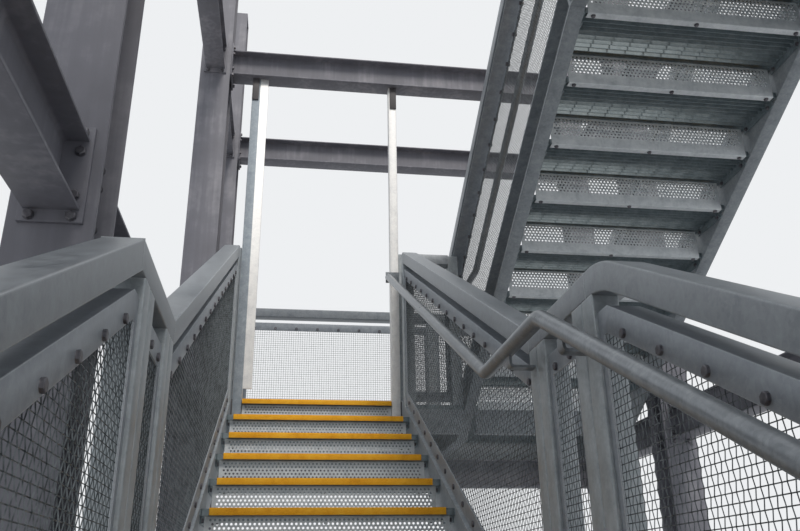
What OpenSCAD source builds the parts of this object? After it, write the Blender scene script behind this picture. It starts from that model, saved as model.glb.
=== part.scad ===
/* [Stairs] */
// Going of one step, from nosing to nosing
going = 310; // [290:1:330]
// Rise of one step
rise = 165; // [155:1:172]
// Risers in each flight
flight_risers = 9; // [8:1:10]
// Width of a flight between the backs of its two channels
stair_w = 1120; // [1000:1:1250]
// Length of a half landing
half_landing = 930; // [900:1:1100]
// Depth of a full landing behind the last nosing
full_landing = 1450; // [1400:1:1700]
// Clear well between the channels of the two runs
well_w = 367; // [340:1:450]
// How far the upper run's first nosing lies behind the lower run's last
return_shift = 100; // [95:1:130]

/* [Stringer channels] */
// Depth of the channel
channel_h = 200; // [180:1:210]
// Width of the channel's flanges
channel_b = 75; // [70:1:80]
// Thickness of the channel's web
channel_web = 8; // [6:1:10]
// Thickness of the channel's flanges
channel_flange = 11; // [9:1:13]
// Height of the channel above the line of the nosings
curb = 8; // [4:1:14]
// Thickness of the splice plates welded on the channel's ends
splice_t = 8; // [6:1:10]
// Thickness of the plates under the lowest channels
foot_plate_t = 12; // [10:1:16]
// How far those plates reach inside the channels
foot_plate_over = 60; // [50:1:80]

/* [Treads] */
// Thickness of the grating
grating_t = 30; // [25:1:35]
// Thickness of the plates welded on a tread's ends
tread_end_t = 6; // [5:1:8]
// Depth of the plates welded on a tread's ends
tread_end_h = 60; // [50:1:70]
// Thickness of the yellow nosing strip
nosing_t = 4; // [3:1:5]
// Width of the strip's top
nosing_top = 72; // [60:1:80]
// Height of the strip's front
nosing_front = 32; // [28:1:34]
// How far a strip stops short of the channels at each end
nosing_inset = 40; // [34:1:50]
// Thickness of the perforated riser plates
riser_t = 3; // [2:1:4]
// How far a riser plate stands behind its nosing
riser_set = 28; // [24:1:32]
// Width of the lip folded under the tread below
riser_lip = 35; // [28:1:40]
// How far a riser plate stops short of the channels at each end
riser_inset = 20; // [15:1:25]

/* [Guards] */
// Height of the guards' top above the nosings and landings
guard_h = 1100; // [1050:1:1150]
// Side of the square posts, and depth of the box top rail
rail_s = 75; // [70:1:80]
// Width of the box top rail
rail_w = 100; // [92:1:104]
// Gap between the top rail and the mesh frame
mesh_gap = 52; // [45:1:80]
// Depth of the mesh frame's top member
top_flat = 68; // [60:1:78]
// Height of the mesh frame's bottom edge above the nosings
mesh_bottom = 27; // [20:1:40]
// Depth of the mesh frame's bottom member
bottom_flat = 75; // [65:1:85]
// Thickness of the mesh frame's members
flat_t = 6; // [5:1:8]
// Width of the ledge behind the mesh frame's top member
ledge_w = 88; // [70:1:92]
// Width of the mesh frame's uprights
stile_w = 28; // [22:1:40]
// How far the mesh frame is set in from the posts' inner face
mesh_inset = 10; // [6:1:12]
// Thickness of the woven mesh
mesh_t = 5; // [4:1:6]
// Width of the grid bars that stand for ten wires of the woven mesh each
grid_bar = 30; // [20:1:40]
// Distance between the middles of those bars, which no panel has more than twelve of
grid_pitch = 220; // [210:1:260]
// Gap between the two posts of a pair
post_gap = 4; // [3:1:8]
// Distance on plan from a half landing's lower end to its first pair of posts
pair_set = 65; // [60:1:75]
// Distance from a flight's last nosing back to its end post
end_post_set = 70; // [60:1:90]
// Distance on plan from the foot of the lower run to its first post
foot_post_set = 150; // [120:1:180]

/* [Handrail] */
// Diameter of the round handrail
handrail_d = 48.3; // [42:0.1:50]
// Clear distance from the channels' back to the handrail's middle
handrail_in = 80; // [75:1:90]
// Height of the handrail's middle above a half landing
handrail_h = 1023; // [990:1:1030]
// How far the handrail's bends lie past the guard's
handrail_shift = 258; // [240:1:280]
// Thickness of the flat bars that carry the handrail
bracket_t = 8; // [6:1:10]
// Width of those flat bars
bracket_w = 40; // [35:1:50]
// Height of the handrail's underside above the flat bars' level legs
stub_h = 30; // [24:1:36]
// Clearance between the handrail and what it rests on
fit = 0.3; // [0.2:0.1:0.5]

/* [Frame] */
// Depth of the column section
column_h = 220; // [200:1:230]
// Width of the column section
column_b = 220; // [200:1:225]
// Thickness of the column's web
column_web = 9; // [7:1:12]
// Thickness of the column's flanges
column_flange = 14; // [10:1:16]
// Gap between the channels and the columns
column_gap = 88; // [80:1:100]
// Thickness of the plates that close the columns' tops
cap_t = 12; // [10:1:15]
// Depth of the beams
beam_h = 215; // [205:1:225]
// Width of the beams
beam_b = 140; // [125:1:150]
// Thickness of the beams' web
beam_web = 7; // [6:1:9]
// Thickness of the beams' flanges
beam_flange = 10; // [8:1:12]
// Thickness of the beams' end plates
end_plate_t = 12; // [10:1:15]
// How far an end plate stands above and below its beam
end_plate_over = 35; // [25:1:45]
// Distance below the top landing of the head beams' top
head_drop = 260; // [250:1:280]
// Distance below the main landing of the side beams' top
side_drop = 30; // [20:1:60]
// Distance on plan of the middle columns behind the lower run's turn
turn_row = 280; // [240:1:320]
// Distance on plan from the last nosing to the hangers' columns
hang_row = 35; // [30:1:40]
// Distance from a full landing's rear edge to its columns' middle
rear_row = 140; // [120:1:160]
// Side of the square hangers
hanger_s = 60; // [55:1:62]
// How far the hangers reach into the stair's width at each side
hanger_in = 66; // [63:1:75]
// How far the hangers' front stands behind the last nosing
hanger_set = 15; // [10:1:20]
// Width of the strip along the left hanger's inner side
hanger_strip_w = 60; // [50:1:70]
// Thickness of that strip
hanger_strip_t = 8; // [6:1:10]
// Height of that strip's foot above the landing
hanger_strip_foot = 70; // [50:1:90]
// Depth of the brackets at the hangers' tops
hanger_bracket_h = 190; // [160:1:220]
// Thickness of the plates of those brackets
hanger_plate_t = 10; // [8:1:12]
// Side of the columns' base plates
base_w = 340; // [330:1:360]
// Thickness of the base plates
base_t = 20; // [16:1:25]
// Distance between a base plate's anchor holes
anchor_pitch = 270; // [262:1:280]
// Diameter of the anchor holes
anchor_d = 22; // [18:1:24]

/* [Hidden] */

galvanised = [0.60, 0.63, 0.64];
painted = [0.50, 0.47, 0.46];
yellow = [0.95, 0.66, 0.12];
wire = [0.33, 0.35, 0.36];

// Heights, from the ground
turn_level = flight_risers * rise;
storey = 2 * turn_level;
top_level = 2 * storey;

// One run on its side view: distances along it start at its first nosing
slope = rise / going;
flight_run = (flight_risers - 1) * going;
second_u = flight_run + half_landing;
end_u = second_u + flight_run;
hanger_u = end_u + hanger_set;
trimmer_u = hanger_u + hanger_s;
rear_u = end_u + full_landing;
rear_web = rear_u - channel_b;

// Plan of the two runs: the upper run is the lower one turned about
half_w = stair_w / 2;
hanger_x = half_w - hanger_in;
toe = half_w + channel_b;
run_pitch = 2 * toe + well_w;
run_b_u = end_u + return_shift;

// Corners of the line that carries the nosings
foot = [-going, 0];
turn_low = [flight_run, turn_level];
turn_high = [second_u - going, turn_level];
head = [end_u, storey];
line_a = [foot, turn_low, turn_high, head, [trimmer_u, storey]];
line_b = [[run_b_u - rear_u, 0], foot, turn_low, turn_high, head, [trimmer_u, storey]];

// Heights of the deck and of the channels against a landing's level
deck_top = -nosing_t;
deck_low = deck_top - grating_t;
channel_low = curb - channel_h;

// Half widths of the risers, and of the last step where it lies between the hangers
riser_half = half_w - riser_inset;
hung_half = hanger_x - nosing_t;

// Height of the mesh frame's top edge above the nosings
mesh_top = guard_h - rail_s - mesh_gap;

// Posts of a guard, on the side view
post_pitch = rail_s + post_gap;
foot_post_a = foot[0] + foot_post_set;
foot_post_b = foot[0] - 2 * rail_s;
pair_low = turn_low[0] + pair_set;
pair_high = turn_high[0] - rail_s;
end_post = end_u - end_post_set - rail_s;

// Plan of the columns and levels of the beams
column_x = [-toe - column_gap - column_b / 2, run_pitch + toe + column_gap + column_b / 2];
beam_x0 = column_x[0] + column_b / 2;
beam_x1 = column_x[1] - column_b / 2;
row_far = rear_u - rear_row;
row_hang = end_u + hang_row;
row_turn = flight_run + turn_row;
row_low = run_b_u - row_hang;
row_near = run_b_u - row_far;
rows = [row_near, row_low, row_turn, row_hang, row_far];
column_top = top_level + guard_h;
head_top = top_level - head_drop;
side_top = storey - side_drop;
seat_h = head_drop + channel_low;

// The middle of the whole on plan
x_mid = run_pitch / 2;
y_mid = run_b_u / 2;

function run_angle(a, b) = atan2(b[1] - a[1], b[0] - a[0]);
function unit(t) = [cos(t), sin(t)];
function raised(p, h) = [for (q = p) q + [0, h]];
function last(p) = len(p) - 1;

// Point of a line moved by d square to it: upright at its ends, mitred between
function moved(p, i, d) =
    i == 0 ? p[0] + [0, d / cos(run_angle(p[0], p[1]))]
    : i == last(p) ? p[i] + [0, d / cos(run_angle(p[i - 1], p[i]))]
    : let (a = run_angle(p[i - 1], p[i]), b = run_angle(p[i], p[i + 1]))
        p[i] + unit((a + b) / 2 + 90) * d / cos((b - a) / 2);

// Outline between two lines, and of the part of a band between corners i and i + 1
function between(low, low_d, high, high_d) = concat(
    [for (i = [0:last(low)]) moved(low, i, low_d)],
    [for (i = [last(high):-1:0]) moved(high, i, high_d)]);
function part_of(p, i, low, high) =
    [moved(p, i, low), moved(p, i + 1, low), moved(p, i + 1, high), moved(p, i, high)];

// Height of the nosing line at a place along a run
function line_z(u) =
    u < foot[0] ? 0
    : u < turn_low[0] ? slope * (u - foot[0])
    : u < turn_high[0] ? turn_level
    : turn_level + slope * (u - turn_high[0]);
function on_line(u) = [u, line_z(u)];

function nosing(k) =
    k <= flight_risers ? [(k - 1) * going, k * rise]
    : [second_u + (k - flight_risers - 1) * going, k * rise];

module plan() translate([-x_mid, -y_mid, 0]) children();
module run_a() plan() children();
module run_b() plan() translate([run_pitch, run_b_u, storey]) rotate([0, 0, 180]) children();
module both_sides() {
    children();
    mirror([1, 0, 0]) children();
}
module both_runs() {
    run_a() children();
    run_b() children();
}
module box(a, b) translate(a) cube(b - a);

// Sheet with its outline on the side view, between two places across the stairs
module across(x0, x1) translate([x0, 0, 0]) rotate([90, 0, 90]) linear_extrude(x1 - x0) children();

// Treads
module tread(k) {
    n = nosing(k);
    top = n[1] + deck_top;
    back = n[0] + going + riser_set;
    box([-half_w, n[0], top - grating_t], [half_w, back, top]);
    both_sides()
        box([half_w - tread_end_t, n[0] + riser_set + riser_t, top - tread_end_h],
            [half_w, back - riser_lip, top - grating_t]);
}
module treads(first) {
    for (k = [first:first + flight_risers - 2]) tread(k);
}

// Riser plates, each folded under the tread below it
module riser(k, half) {
    n = nosing(k);
    y = n[0] + riser_set;
    bottom = n[1] - rise + deck_low - riser_t;
    box([-half, y, bottom], [half, y + riser_t, n[1] + deck_low]);
    box([-half, y - riser_lip + riser_t, bottom], [half, y, bottom + riser_t]);
}
module first_riser(bottom)
    box([-riser_half, riser_set, bottom], [riser_half, riser_set + riser_t, rise + deck_low]);
module lower_risers(bottom) {
    first_riser(bottom);
    for (k = [2:flight_risers]) riser(k, riser_half);
}
module upper_risers(last_half) {
    for (k = [flight_risers + 1:2 * flight_risers - 1]) riser(k, riser_half);
    riser(2 * flight_risers, last_half);
}

// Yellow strips over the front edges of the treads and landings
module nosing_strip(k, half) {
    n = nosing(k);
    translate([0, n[0], n[1]]) across(-half, half) polygon([
        [-nosing_t, -nosing_front], [0, -nosing_front], [0, -nosing_t],
        [nosing_top, -nosing_t], [nosing_top, 0], [-nosing_t, 0]
    ]);
}
module nosings(last_half) {
    for (k = [1:2 * flight_risers - 1]) nosing_strip(k, half_w - nosing_inset);
    nosing_strip(2 * flight_risers, last_half);
}

// Channel between corners i and j of a line, its web inside and its toes out. Its hollow stops
// short of its ends by start and end, which are the splice plates' thickness, or less than 0 where open.
open_end = -channel_b;
function ends_in(p, i, j, k, d, start, end) = moved(p, k, d)
    + (k == i ? start * unit(run_angle(p[i], p[i + 1])) : [0, 0])
    - (k == j ? end * unit(run_angle(p[j - 1], p[j])) : [0, 0]);
function outline(p, i, j, low, high, start = 0, end = 0) = concat(
    [for (k = [i:j]) ends_in(p, i, j, k, low, start, end)],
    [for (k = [j:-1:i]) ends_in(p, i, j, k, high, start, end)]);
module channel(line, i, j, start = open_end, end = open_end, top = 0) {
    p = raised(line, curb);
    difference() {
        across(half_w, toe) polygon(outline(p, i, j, -channel_h, top));
        across(half_w + channel_web, 2 * toe) polygon(outline(p, i, j,
            channel_flange - channel_h, top - channel_flange, start, end));
    }
}

// The lowest channels are cut upright in front and level at their feet
foot_front = foot_post_a - rail_s / 3;
hand_angle = run_angle(foot, turn_low);
channel_under = curb - channel_h / cos(hand_angle);
foot_back = foot[0] + (foot_plate_t - channel_under) / slope;
module lowest_stringer() intersection() {
    channel(line_a, 0, 1, end = splice_t);
    box([half_w / 2, foot_front, foot_plate_t], [3 * toe, flight_run + channel_h, storey]);
}
module upper_stringer() channel(line_a, 2, 4, start = splice_t);

// Channels that carry the full landings, in the frame of the run that arrives
module side_channel() channel([[trimmer_u, storey], [rear_u, storey]], 0, 1);
module joist() channel([[trimmer_u + channel_b, storey], [rear_web, storey]], 0, 1, top = deck_low - curb);
module trimmer(x0, x1, y, top) {
    h = top - channel_low;
    translate([0, y, storey + channel_low]) across(x0, x1) {
        square([channel_web, h]);
        square([channel_b, channel_flange]);
        translate([0, h - channel_flange]) square([channel_b, channel_flange]);
    }
}
module rear_trimmer() trimmer(-half_w, run_pitch + half_w, rear_web, curb);

// Decks of grating
module deck(outline) translate([0, 0, storey + deck_low]) linear_extrude(grating_t) polygon(outline);
module main_deck() deck([
    [-half_w, trimmer_u], [-hung_half, trimmer_u], [-hung_half, end_u],
    [hung_half, end_u], [hung_half, trimmer_u], [run_pitch - toe, trimmer_u],
    [run_pitch - toe, run_b_u + going], [run_pitch - half_w, run_b_u + going],
    [run_pitch - half_w, run_b_u - riser_set], [run_pitch + half_w, run_b_u - riser_set],
    [run_pitch + half_w, rear_web], [-half_w, rear_web]
]);
module top_deck() deck([
    [-half_w, end_u], [half_w, end_u], [half_w, trimmer_u], [run_pitch + half_w, trimmer_u],
    [run_pitch + half_w, rear_web], [-half_w, rear_web]
]);
module half_deck() box([-half_w, flight_run, turn_level + deck_low],
    [half_w, second_u + riser_set, turn_level + deck_top]);

// Guards of a run, on one side of it
guard_a = [on_line(foot_post_a + rail_s), turn_low, turn_high, on_line(end_post)];
guard_b = [on_line(foot_post_b + rail_s), foot, turn_low, turn_high, on_line(end_post)];
module guard_rail(line, i) across(half_w, half_w + rail_w)
    polygon(part_of(raised(line, guard_h), i, -rail_s, 0));
module guard_post(u, top, rest = curb) across(half_w, half_w + rail_s) polygon([
    on_line(u) + [0, rest], on_line(u + rail_s) + [0, rest], [u + rail_s, top], [u, top]
]);
module upper_posts() {
    for (u = [pair_low, pair_low + post_pitch, pair_high - post_pitch, pair_high])
        guard_post(u, turn_level + guard_h - rail_s);
    guard_post(end_post, line_z(end_post) + guard_h);
}

// Bays of a run's guards, between the faces of their posts
bays_a = [
    [guard_a[0], turn_low, on_line(pair_low)],
    [on_line(pair_low + post_pitch + rail_s), on_line(pair_high - post_pitch)],
    [turn_high, on_line(end_post)]
];
bays_b = [[guard_b[0], foot, turn_low, on_line(pair_low)], bays_a[1], bays_a[2]];

// Mesh panel of a bay: its bolted frame, and the woven mesh behind it
module stile(a, b) {
    c = a + (b - a) * stile_w / abs(b[0] - a[0]);
    low = [0, mesh_bottom + bottom_flat / 2];
    high = [0, mesh_top - top_flat / 2];
    polygon([a + low, c + low, c + high, a + high]);
}
module mesh_frame(bay) {
    low = raised(bay, mesh_bottom);
    high = raised(bay, mesh_top);
    across(mesh_inset, mesh_inset + flat_t) {
        polygon(between(low, 0, low, bottom_flat));
        polygon(between(high, -top_flat, high, 0));
        stile(bay[0], bay[1]);
        stile(bay[last(bay)], bay[last(bay) - 1]);
    }
    across(mesh_inset, mesh_inset + ledge_w) polygon(between(high, -flat_t, high, 0));
}

// The mesh is a plain grid of openings inside its frame. A place on it is a distance along the bay, and
// a share of the way from the frame's bottom member up to its top member.
most_across = 12;
function edge_of(bay, h, d) = [for (i = [0:last(bay)]) moved(raised(bay, h), i, d)];
function on_mesh(bay, u, share, d) = [u, d
    + (1 - share) * lookup(u, edge_of(bay, mesh_bottom, bottom_flat))
    + share * lookup(u, edge_of(bay, mesh_top, -top_flat))];
function cell(bay, u0, u1, share0, share1) =
    let (us = concat([u0 + grid_bar / 2], [for (p = bay) if (p[0] > u0 && p[0] < u1) p[0]], [u1 - grid_bar / 2]))
    concat(
        [for (u = us) on_mesh(bay, u, share0, grid_bar / 2)],
        [for (i = [last(us):-1:0]) on_mesh(bay, us[i], share1, -grid_bar / 2)]);
module mesh(bay) {
    start = bay[0][0] + stile_w;
    length = bay[last(bay)][0] - stile_w - start;
    columns = min(most_across, round(length / grid_pitch));
    rows = round((mesh_top - mesh_bottom - top_flat - bottom_flat) / grid_pitch);
    step = length / columns;
    across(mesh_inset + flat_t, mesh_inset + flat_t + mesh_t) difference() {
        polygon(between(raised(bay, mesh_bottom), bottom_flat / 3, raised(bay, mesh_top), -top_flat * 2 / 3));
        for (i = [0:columns - 1], k = [0:rows - 1])
            polygon(cell(bay, start + i * step, start + (i + 1) * step, k / rows, (k + 1) / rows));
    }
}
module run_frames(bays) both_sides() translate([half_w, 0, 0]) for (b = bays) mesh_frame(b);
module run_mesh(bays) translate([half_w, 0, 0]) for (b = bays) mesh(b);

// Bays of the landings' guards: place of an end, turn about it, length
well_post_x = run_pitch - half_w - 2 * rail_s;
jamb_x = run_pitch - half_w - rail_s;
front_bay = run_pitch / 2 - rail_s;
front_y = trimmer_u + rail_s;
far_bays = [
    [[jamb_x, rear_web], 90, jamb_x + half_w],
    [[run_pitch + half_w, rear_web], 90, stair_w]
];
main_bays = concat(far_bays, [
    [[run_pitch + half_w, run_b_u - foot_post_b], 0, rear_web - run_b_u + foot_post_b],
    [[half_w + rail_s, front_y], -90, well_post_x - half_w - rail_s]
]);
top_bays = concat(far_bays, [
    [[-half_w, rear_web], 180, rear_web - front_y],
    [[half_w + rail_s, front_y], -90, front_bay],
    [[run_pitch + half_w - front_bay, front_y], -90, front_bay]
]);
module at_bays(bays) for (b = bays)
    translate([b[0][0], b[0][1], storey]) rotate([0, 0, b[1]]) let ($length = b[2]) children();
module level_rail() box([0, 0, guard_h - rail_s], [rail_w, $length, guard_h]);
module level_frame() mesh_frame([[0, 0], [$length, 0]]);
module level_mesh() mesh([[0, 0], [$length, 0]]);

// Posts of the landings' guards, on the channels or on the deck
module landing_post(x, y, rest) box([x, y, storey + rest], [x + rail_s, y + rail_s, storey + guard_h]);
module shared_posts() {
    landing_post(-half_w - rail_s, trimmer_u, curb);
    landing_post(-half_w - rail_s, rear_web, curb);
    landing_post(half_w, trimmer_u, deck_top);
    landing_post(jamb_x, rear_web, curb);
    landing_post(run_pitch + half_w, rear_web, curb);
}

// Handrail on the well side of each run, mitred at its bends and cut upright at its ends
tube_sides = 12;
rail_x = half_w - handrail_in;
hand_move = [handrail_shift, handrail_h];
function on_hand(u) = [u, line_z(u - handrail_shift) + handrail_h];
hand_end = hanger_u - bracket_t;
function hand_line(start, end) =
    [on_hand(start), foot + hand_move, turn_low + hand_move, turn_high + hand_move, on_hand(end)];
module straight(a, b, d) translate([rail_x, a[0], a[1]])
    rotate([run_angle(a, b) - 90, 0, 0]) cylinder(h = norm(b - a), d = d, $fn = tube_sides);
module handrail(p) for (i = [0:last(p) - 1]) {
    over = handrail_d * unit(run_angle(p[i], p[i + 1]));
    intersection() {
        straight(p[i] - over, p[i + 1] + over, handrail_d);
        across(rail_x - handrail_d, rail_x + handrail_d)
            polygon(part_of(p, i, -handrail_d, handrail_d));
    }
}
module bracket(post_u) {
    u = post_u + rail_s / 2;
    near = u - bracket_w / 2;
    far = u + bracket_w / 2;
    under = [0, -(handrail_d / 2 + fit) / cos(run_angle(on_hand(near), on_hand(far)))];
    low = on_hand(u)[1] + under[1] - stub_h;
    box([rail_x - bracket_t / 2, near, low - bracket_t], [half_w, far, low]);
    across(rail_x - bracket_t / 2, rail_x + bracket_t / 2)
        polygon([[near, low], [far, low], on_hand(far) + under, on_hand(near) + under]);
}
module brackets(post_us) for (u = post_us) bracket(u);
module end_bracket() {
    z = on_hand(hand_end)[1];
    box([rail_x - bracket_w / 2, hanger_u - bracket_t, z - bracket_w],
        [hanger_x + hanger_s, hanger_u, z + bracket_w]);
}

// Hangers between the head beam and the front of the main landing
hanger_foot = nosing(2 * flight_risers - 1)[1];
hanger_head = head_top - beam_h;
module hanger() box([hanger_x, hanger_u, hanger_foot], [hanger_x + hanger_s, trimmer_u, hanger_head]);
module hanger_strip() box([-hanger_x, hanger_u, storey + hanger_strip_foot],
    [hanger_strip_w - hanger_x, hanger_u + hanger_strip_t, hanger_head]);
module hanger_top_plate() box(
    [hanger_x + hanger_plate_t, hanger_u - hanger_plate_t, hanger_head - hanger_bracket_h],
    [hanger_x + hanger_s, hanger_u, hanger_head]);
module hanger_foot_plate() box([hanger_x + hanger_s, hanger_u, hanger_foot + hanger_plate_t],
    [half_w, trimmer_u, storey]);

// Columns and beams: rolled sections, with their depth upright on the drawing
module i_section(h, b, web, flange) {
    translate([-web / 2, -h / 2]) square([web, h]);
    for (y = [-h / 2, h / 2 - flange]) translate([-b / 2, y]) square([b, flange]);
}
module beam_section() i_section(beam_h, beam_b, beam_web, beam_flange);
module end_plate(w) translate([-w / 2, -beam_h / 2 - end_plate_over])
    square([w, beam_h + 2 * end_plate_over]);
module cross_beam(row, top) translate([0, row, top - beam_h / 2]) {
    across(beam_x0 + end_plate_t, beam_x1 - end_plate_t) beam_section();
    for (x = [beam_x0, beam_x1 - end_plate_t]) across(x, x + end_plate_t) end_plate(column_h);
}
module side_beam(x, row, next, top) {
    length = next - row - column_h;
    translate([x, next - column_h / 2, top - beam_h / 2]) rotate([90, 0, 0]) {
        translate([0, 0, end_plate_t]) linear_extrude(length - 2 * end_plate_t) beam_section();
        for (z = [0, length - end_plate_t])
            translate([0, 0, z]) linear_extrude(end_plate_t) end_plate(beam_b + 2 * end_plate_t);
    }
}
module column(x, y) {
    translate([x, y, base_t]) linear_extrude(column_top - base_t)
        i_section(column_h, column_b, column_web, column_flange);
    box([x - column_b / 2, y - column_h / 2, column_top],
        [x + column_b / 2, y + column_h / 2, column_top + cap_t]);
}

// Plates under the columns and under the lowest channels
module anchor_holes(x, y, dx, dy, t) for (i = [-1, 1], j = [-1, 1])
    translate([x + i * dx, y + j * dy, -t]) cylinder(h = 3 * t, d = anchor_d);
module base_plate(x, y) difference() {
    box([x - base_w / 2, y - base_w / 2, 0], [x + base_w / 2, y + base_w / 2, base_t]);
    anchor_holes(x, y, anchor_pitch / 2, anchor_pitch / 2, base_t);
}
module foot_plates() difference() {
    both_sides() box([half_w - foot_plate_over, foot_front - foot_plate_over / 2, 0],
        [toe, foot_back + foot_plate_over / 2, foot_plate_t]);
    anchor_holes(0, (foot_front + foot_back) / 2, half_w - foot_plate_over / 2,
        (foot_back - foot_front) / 2, foot_plate_t);
}

// Seats of the top landing and of the upper half landing on their beams
module seats_of_row(y0, y1) for (x = [-toe, half_w, run_pitch - toe, run_pitch + half_w])
    box([x, y0, storey + channel_low - seat_h], [x + channel_b, y1, storey + channel_low]);
module turn_seat() {
    u0 = run_b_u - row_turn - beam_b / 2;
    u1 = u0 + beam_b;
    low = turn_level + channel_low - seat_h;
    across(half_w, toe) polygon([[u0, low], [u1, low],
        on_line(u1) + [0, channel_under], on_line(u0) + [0, channel_under]]);
}

module treads_1() color(galvanised) run_a() treads(1);
module treads_2() color(galvanised) run_a() treads(flight_risers + 1);
module treads_3() color(galvanised) run_b() treads(1);
module treads_4() color(galvanised) run_b() treads(flight_risers + 1);
module risers_1() color(galvanised) run_a() lower_risers(foot_plate_t);
module risers_2() color(galvanised) run_a() upper_risers(hung_half);
module risers_3() color(galvanised) run_b() lower_risers(deck_low);
module risers_4() color(galvanised) run_b() upper_risers(riser_half);
module nosings_a() color(yellow) run_a() nosings(hung_half);
module nosings_b() color(yellow) run_b() nosings(half_w - nosing_inset);

module stringers_1() color(galvanised) run_a() both_sides() lowest_stringer();
module stringers_2() color(galvanised) run_a() both_sides() upper_stringer();
module stringers_3() color(galvanised) run_b() both_sides() channel(line_b, 1, 2, splice_t, splice_t);
module stringers_4() color(galvanised) run_b() both_sides() upper_stringer();
module half_landing_channels() color(galvanised) both_runs() both_sides()
    channel(line_a, 1, 2, splice_t, splice_t);
module landing_side_channels() color(galvanised) {
    both_runs() mirror([1, 0, 0]) side_channel();
    run_b() mirror([1, 0, 0]) channel(line_b, 0, 1, end = splice_t);
    run_b() translate([run_pitch, 0, 0]) side_channel();
}
module landing_trimmers() color(galvanised) {
    run_a() {
        trimmer(-half_w, run_pitch - toe, trimmer_u, deck_low);
        trimmer(run_pitch - half_w, run_pitch + half_w, trimmer_u, deck_low);
    }
    run_b() trimmer(-half_w, run_pitch + half_w, trimmer_u, deck_low);
    both_runs() rear_trimmer();
}
module landing_joists() color(galvanised) {
    both_runs() joist();
    run_b() channel([[run_b_u - rear_web, 0], foot, turn_low], 0, 1, top = deck_low - curb);
    run_b() translate([run_pitch, 0, 0]) mirror([1, 0, 0]) joist();
}
module half_landing_decks() color(galvanised) both_runs() half_deck();
module main_landing_deck() color(galvanised) run_a() main_deck();
module top_landing_deck() color(galvanised) run_b() top_deck();

module top_rails_a() color(galvanised) run_a() both_sides() for (i = [0, 2]) guard_rail(guard_a, i);
module top_rails_b() color(galvanised) run_b() both_sides() for (i = [1, 3]) guard_rail(guard_b, i);
module top_rails_level() color(galvanised) {
    run_a() both_sides() guard_rail(guard_a, 1);
    run_b() both_sides() for (i = [0, 2]) guard_rail(guard_b, i);
    run_a() at_bays(main_bays) level_rail();
    run_b() at_bays(top_bays) level_rail();
}
module posts_a() color(galvanised) run_a() both_sides() {
    upper_posts();
    guard_post(foot_post_a, line_z(foot_post_a + rail_s) + guard_h);
}
module posts_b() color(galvanised) run_b() {
    both_sides() upper_posts();
    guard_post(foot_post_b, guard_h, deck_top);
    mirror([1, 0, 0]) guard_post(foot_post_b, guard_h);
}
module posts_landings() color(galvanised) {
    both_runs() shared_posts();
    run_a() landing_post(well_post_x, trimmer_u, deck_top);
    run_b() landing_post(half_w + rail_s + front_bay, trimmer_u, deck_top);
    run_b() landing_post(run_pitch + half_w, trimmer_u, curb);
}
module mesh_frames_a() color(galvanised) run_a() run_frames(bays_a);
module mesh_frames_b() color(galvanised) run_b() run_frames(bays_b);
module mesh_frames_landings() color(galvanised) {
    run_a() at_bays(main_bays) level_frame();
    run_b() at_bays(top_bays) level_frame();
}
module mesh_a_left() color(wire) run_a() mirror([1, 0, 0]) run_mesh(bays_a);
module mesh_a_right() color(wire) run_a() run_mesh(bays_a);
module mesh_b_left() color(wire) run_b() run_mesh(bays_b);
module mesh_b_right() color(wire) run_b() mirror([1, 0, 0]) run_mesh(bays_b);
module mesh_landings() color(wire) {
    run_a() at_bays(main_bays) level_mesh();
    run_b() at_bays(top_bays) level_mesh();
}

module handrail_a() color(galvanised) run_a() handrail(hand_line(foot_post_a, hand_end));
module handrail_b() color(galvanised) run_b() handrail(hand_line(foot_post_b, end_post + rail_s));
module handrail_brackets() color(galvanised) {
    both_runs() brackets([pair_low, pair_high]);
    run_a() brackets([foot_post_a]);
    run_a() end_bracket();
    run_b() brackets([foot_post_b, end_post]);
}
module hangers() color(galvanised) run_a() {
    hanger();
    union() {
        mirror([1, 0, 0]) hanger();
        hanger_strip();
    }
}
module hanger_brackets() color(painted) run_a() both_sides() {
    hanger_top_plate();
    hanger_foot_plate();
}
module landing_seats() color(painted) run_b() {
    seats_of_row(trimmer_u, row_hang + beam_b / 2);
    seats_of_row(row_far - beam_b / 2, row_far + beam_b / 2);
    both_sides() turn_seat();
}

module columns() color(painted) plan() for (x = column_x, y = rows) column(x, y);
module base_plates() color(painted) {
    plan() for (x = column_x, y = rows) base_plate(x, y);
    run_a() foot_plates();
}
module cross_beams() color(painted) plan() {
    for (y = [row_far, row_hang, row_low, row_near]) cross_beam(y, head_top);
    for (y = [row_far, row_near]) cross_beam(y, storey + channel_low);
    cross_beam(row_turn, turn_level + channel_low);
    cross_beam(row_turn, storey + turn_level + channel_low - seat_h);
}
module side_beams() color(painted) plan()
    for (x = column_x, i = [0:last(rows) - 1], z = [head_top, side_top])
        side_beam(x, rows[i], rows[i + 1], z);

treads_1();
treads_2();
treads_3();
treads_4();
risers_1();
risers_2();
risers_3();
risers_4();
nosings_a();
nosings_b();
stringers_1();
stringers_2();
stringers_3();
stringers_4();
half_landing_channels();
landing_side_channels();
landing_trimmers();
landing_joists();
half_landing_decks();
main_landing_deck();
top_landing_deck();
top_rails_a();
top_rails_b();
top_rails_level();
posts_a();
posts_b();
posts_landings();
mesh_frames_a();
mesh_frames_b();
mesh_frames_landings();
mesh_a_left();
mesh_a_right();
mesh_b_left();
mesh_b_right();
mesh_landings();
handrail_a();
handrail_b();
handrail_brackets();
hangers();
hanger_brackets();
landing_seats();
columns();
base_plates();
cross_beams();
side_beams();
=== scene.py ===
"""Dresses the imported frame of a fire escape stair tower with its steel, mesh, fixings, light and camera.

Sizes are in millimetres until a mesh is made, because the tower was set out in millimetres.
"""

import logging
import math
from collections.abc import Callable
from dataclasses import dataclass, field
from enum import Enum

import bmesh
import bpy
import numpy as np
from mathutils import Matrix, Vector

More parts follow.
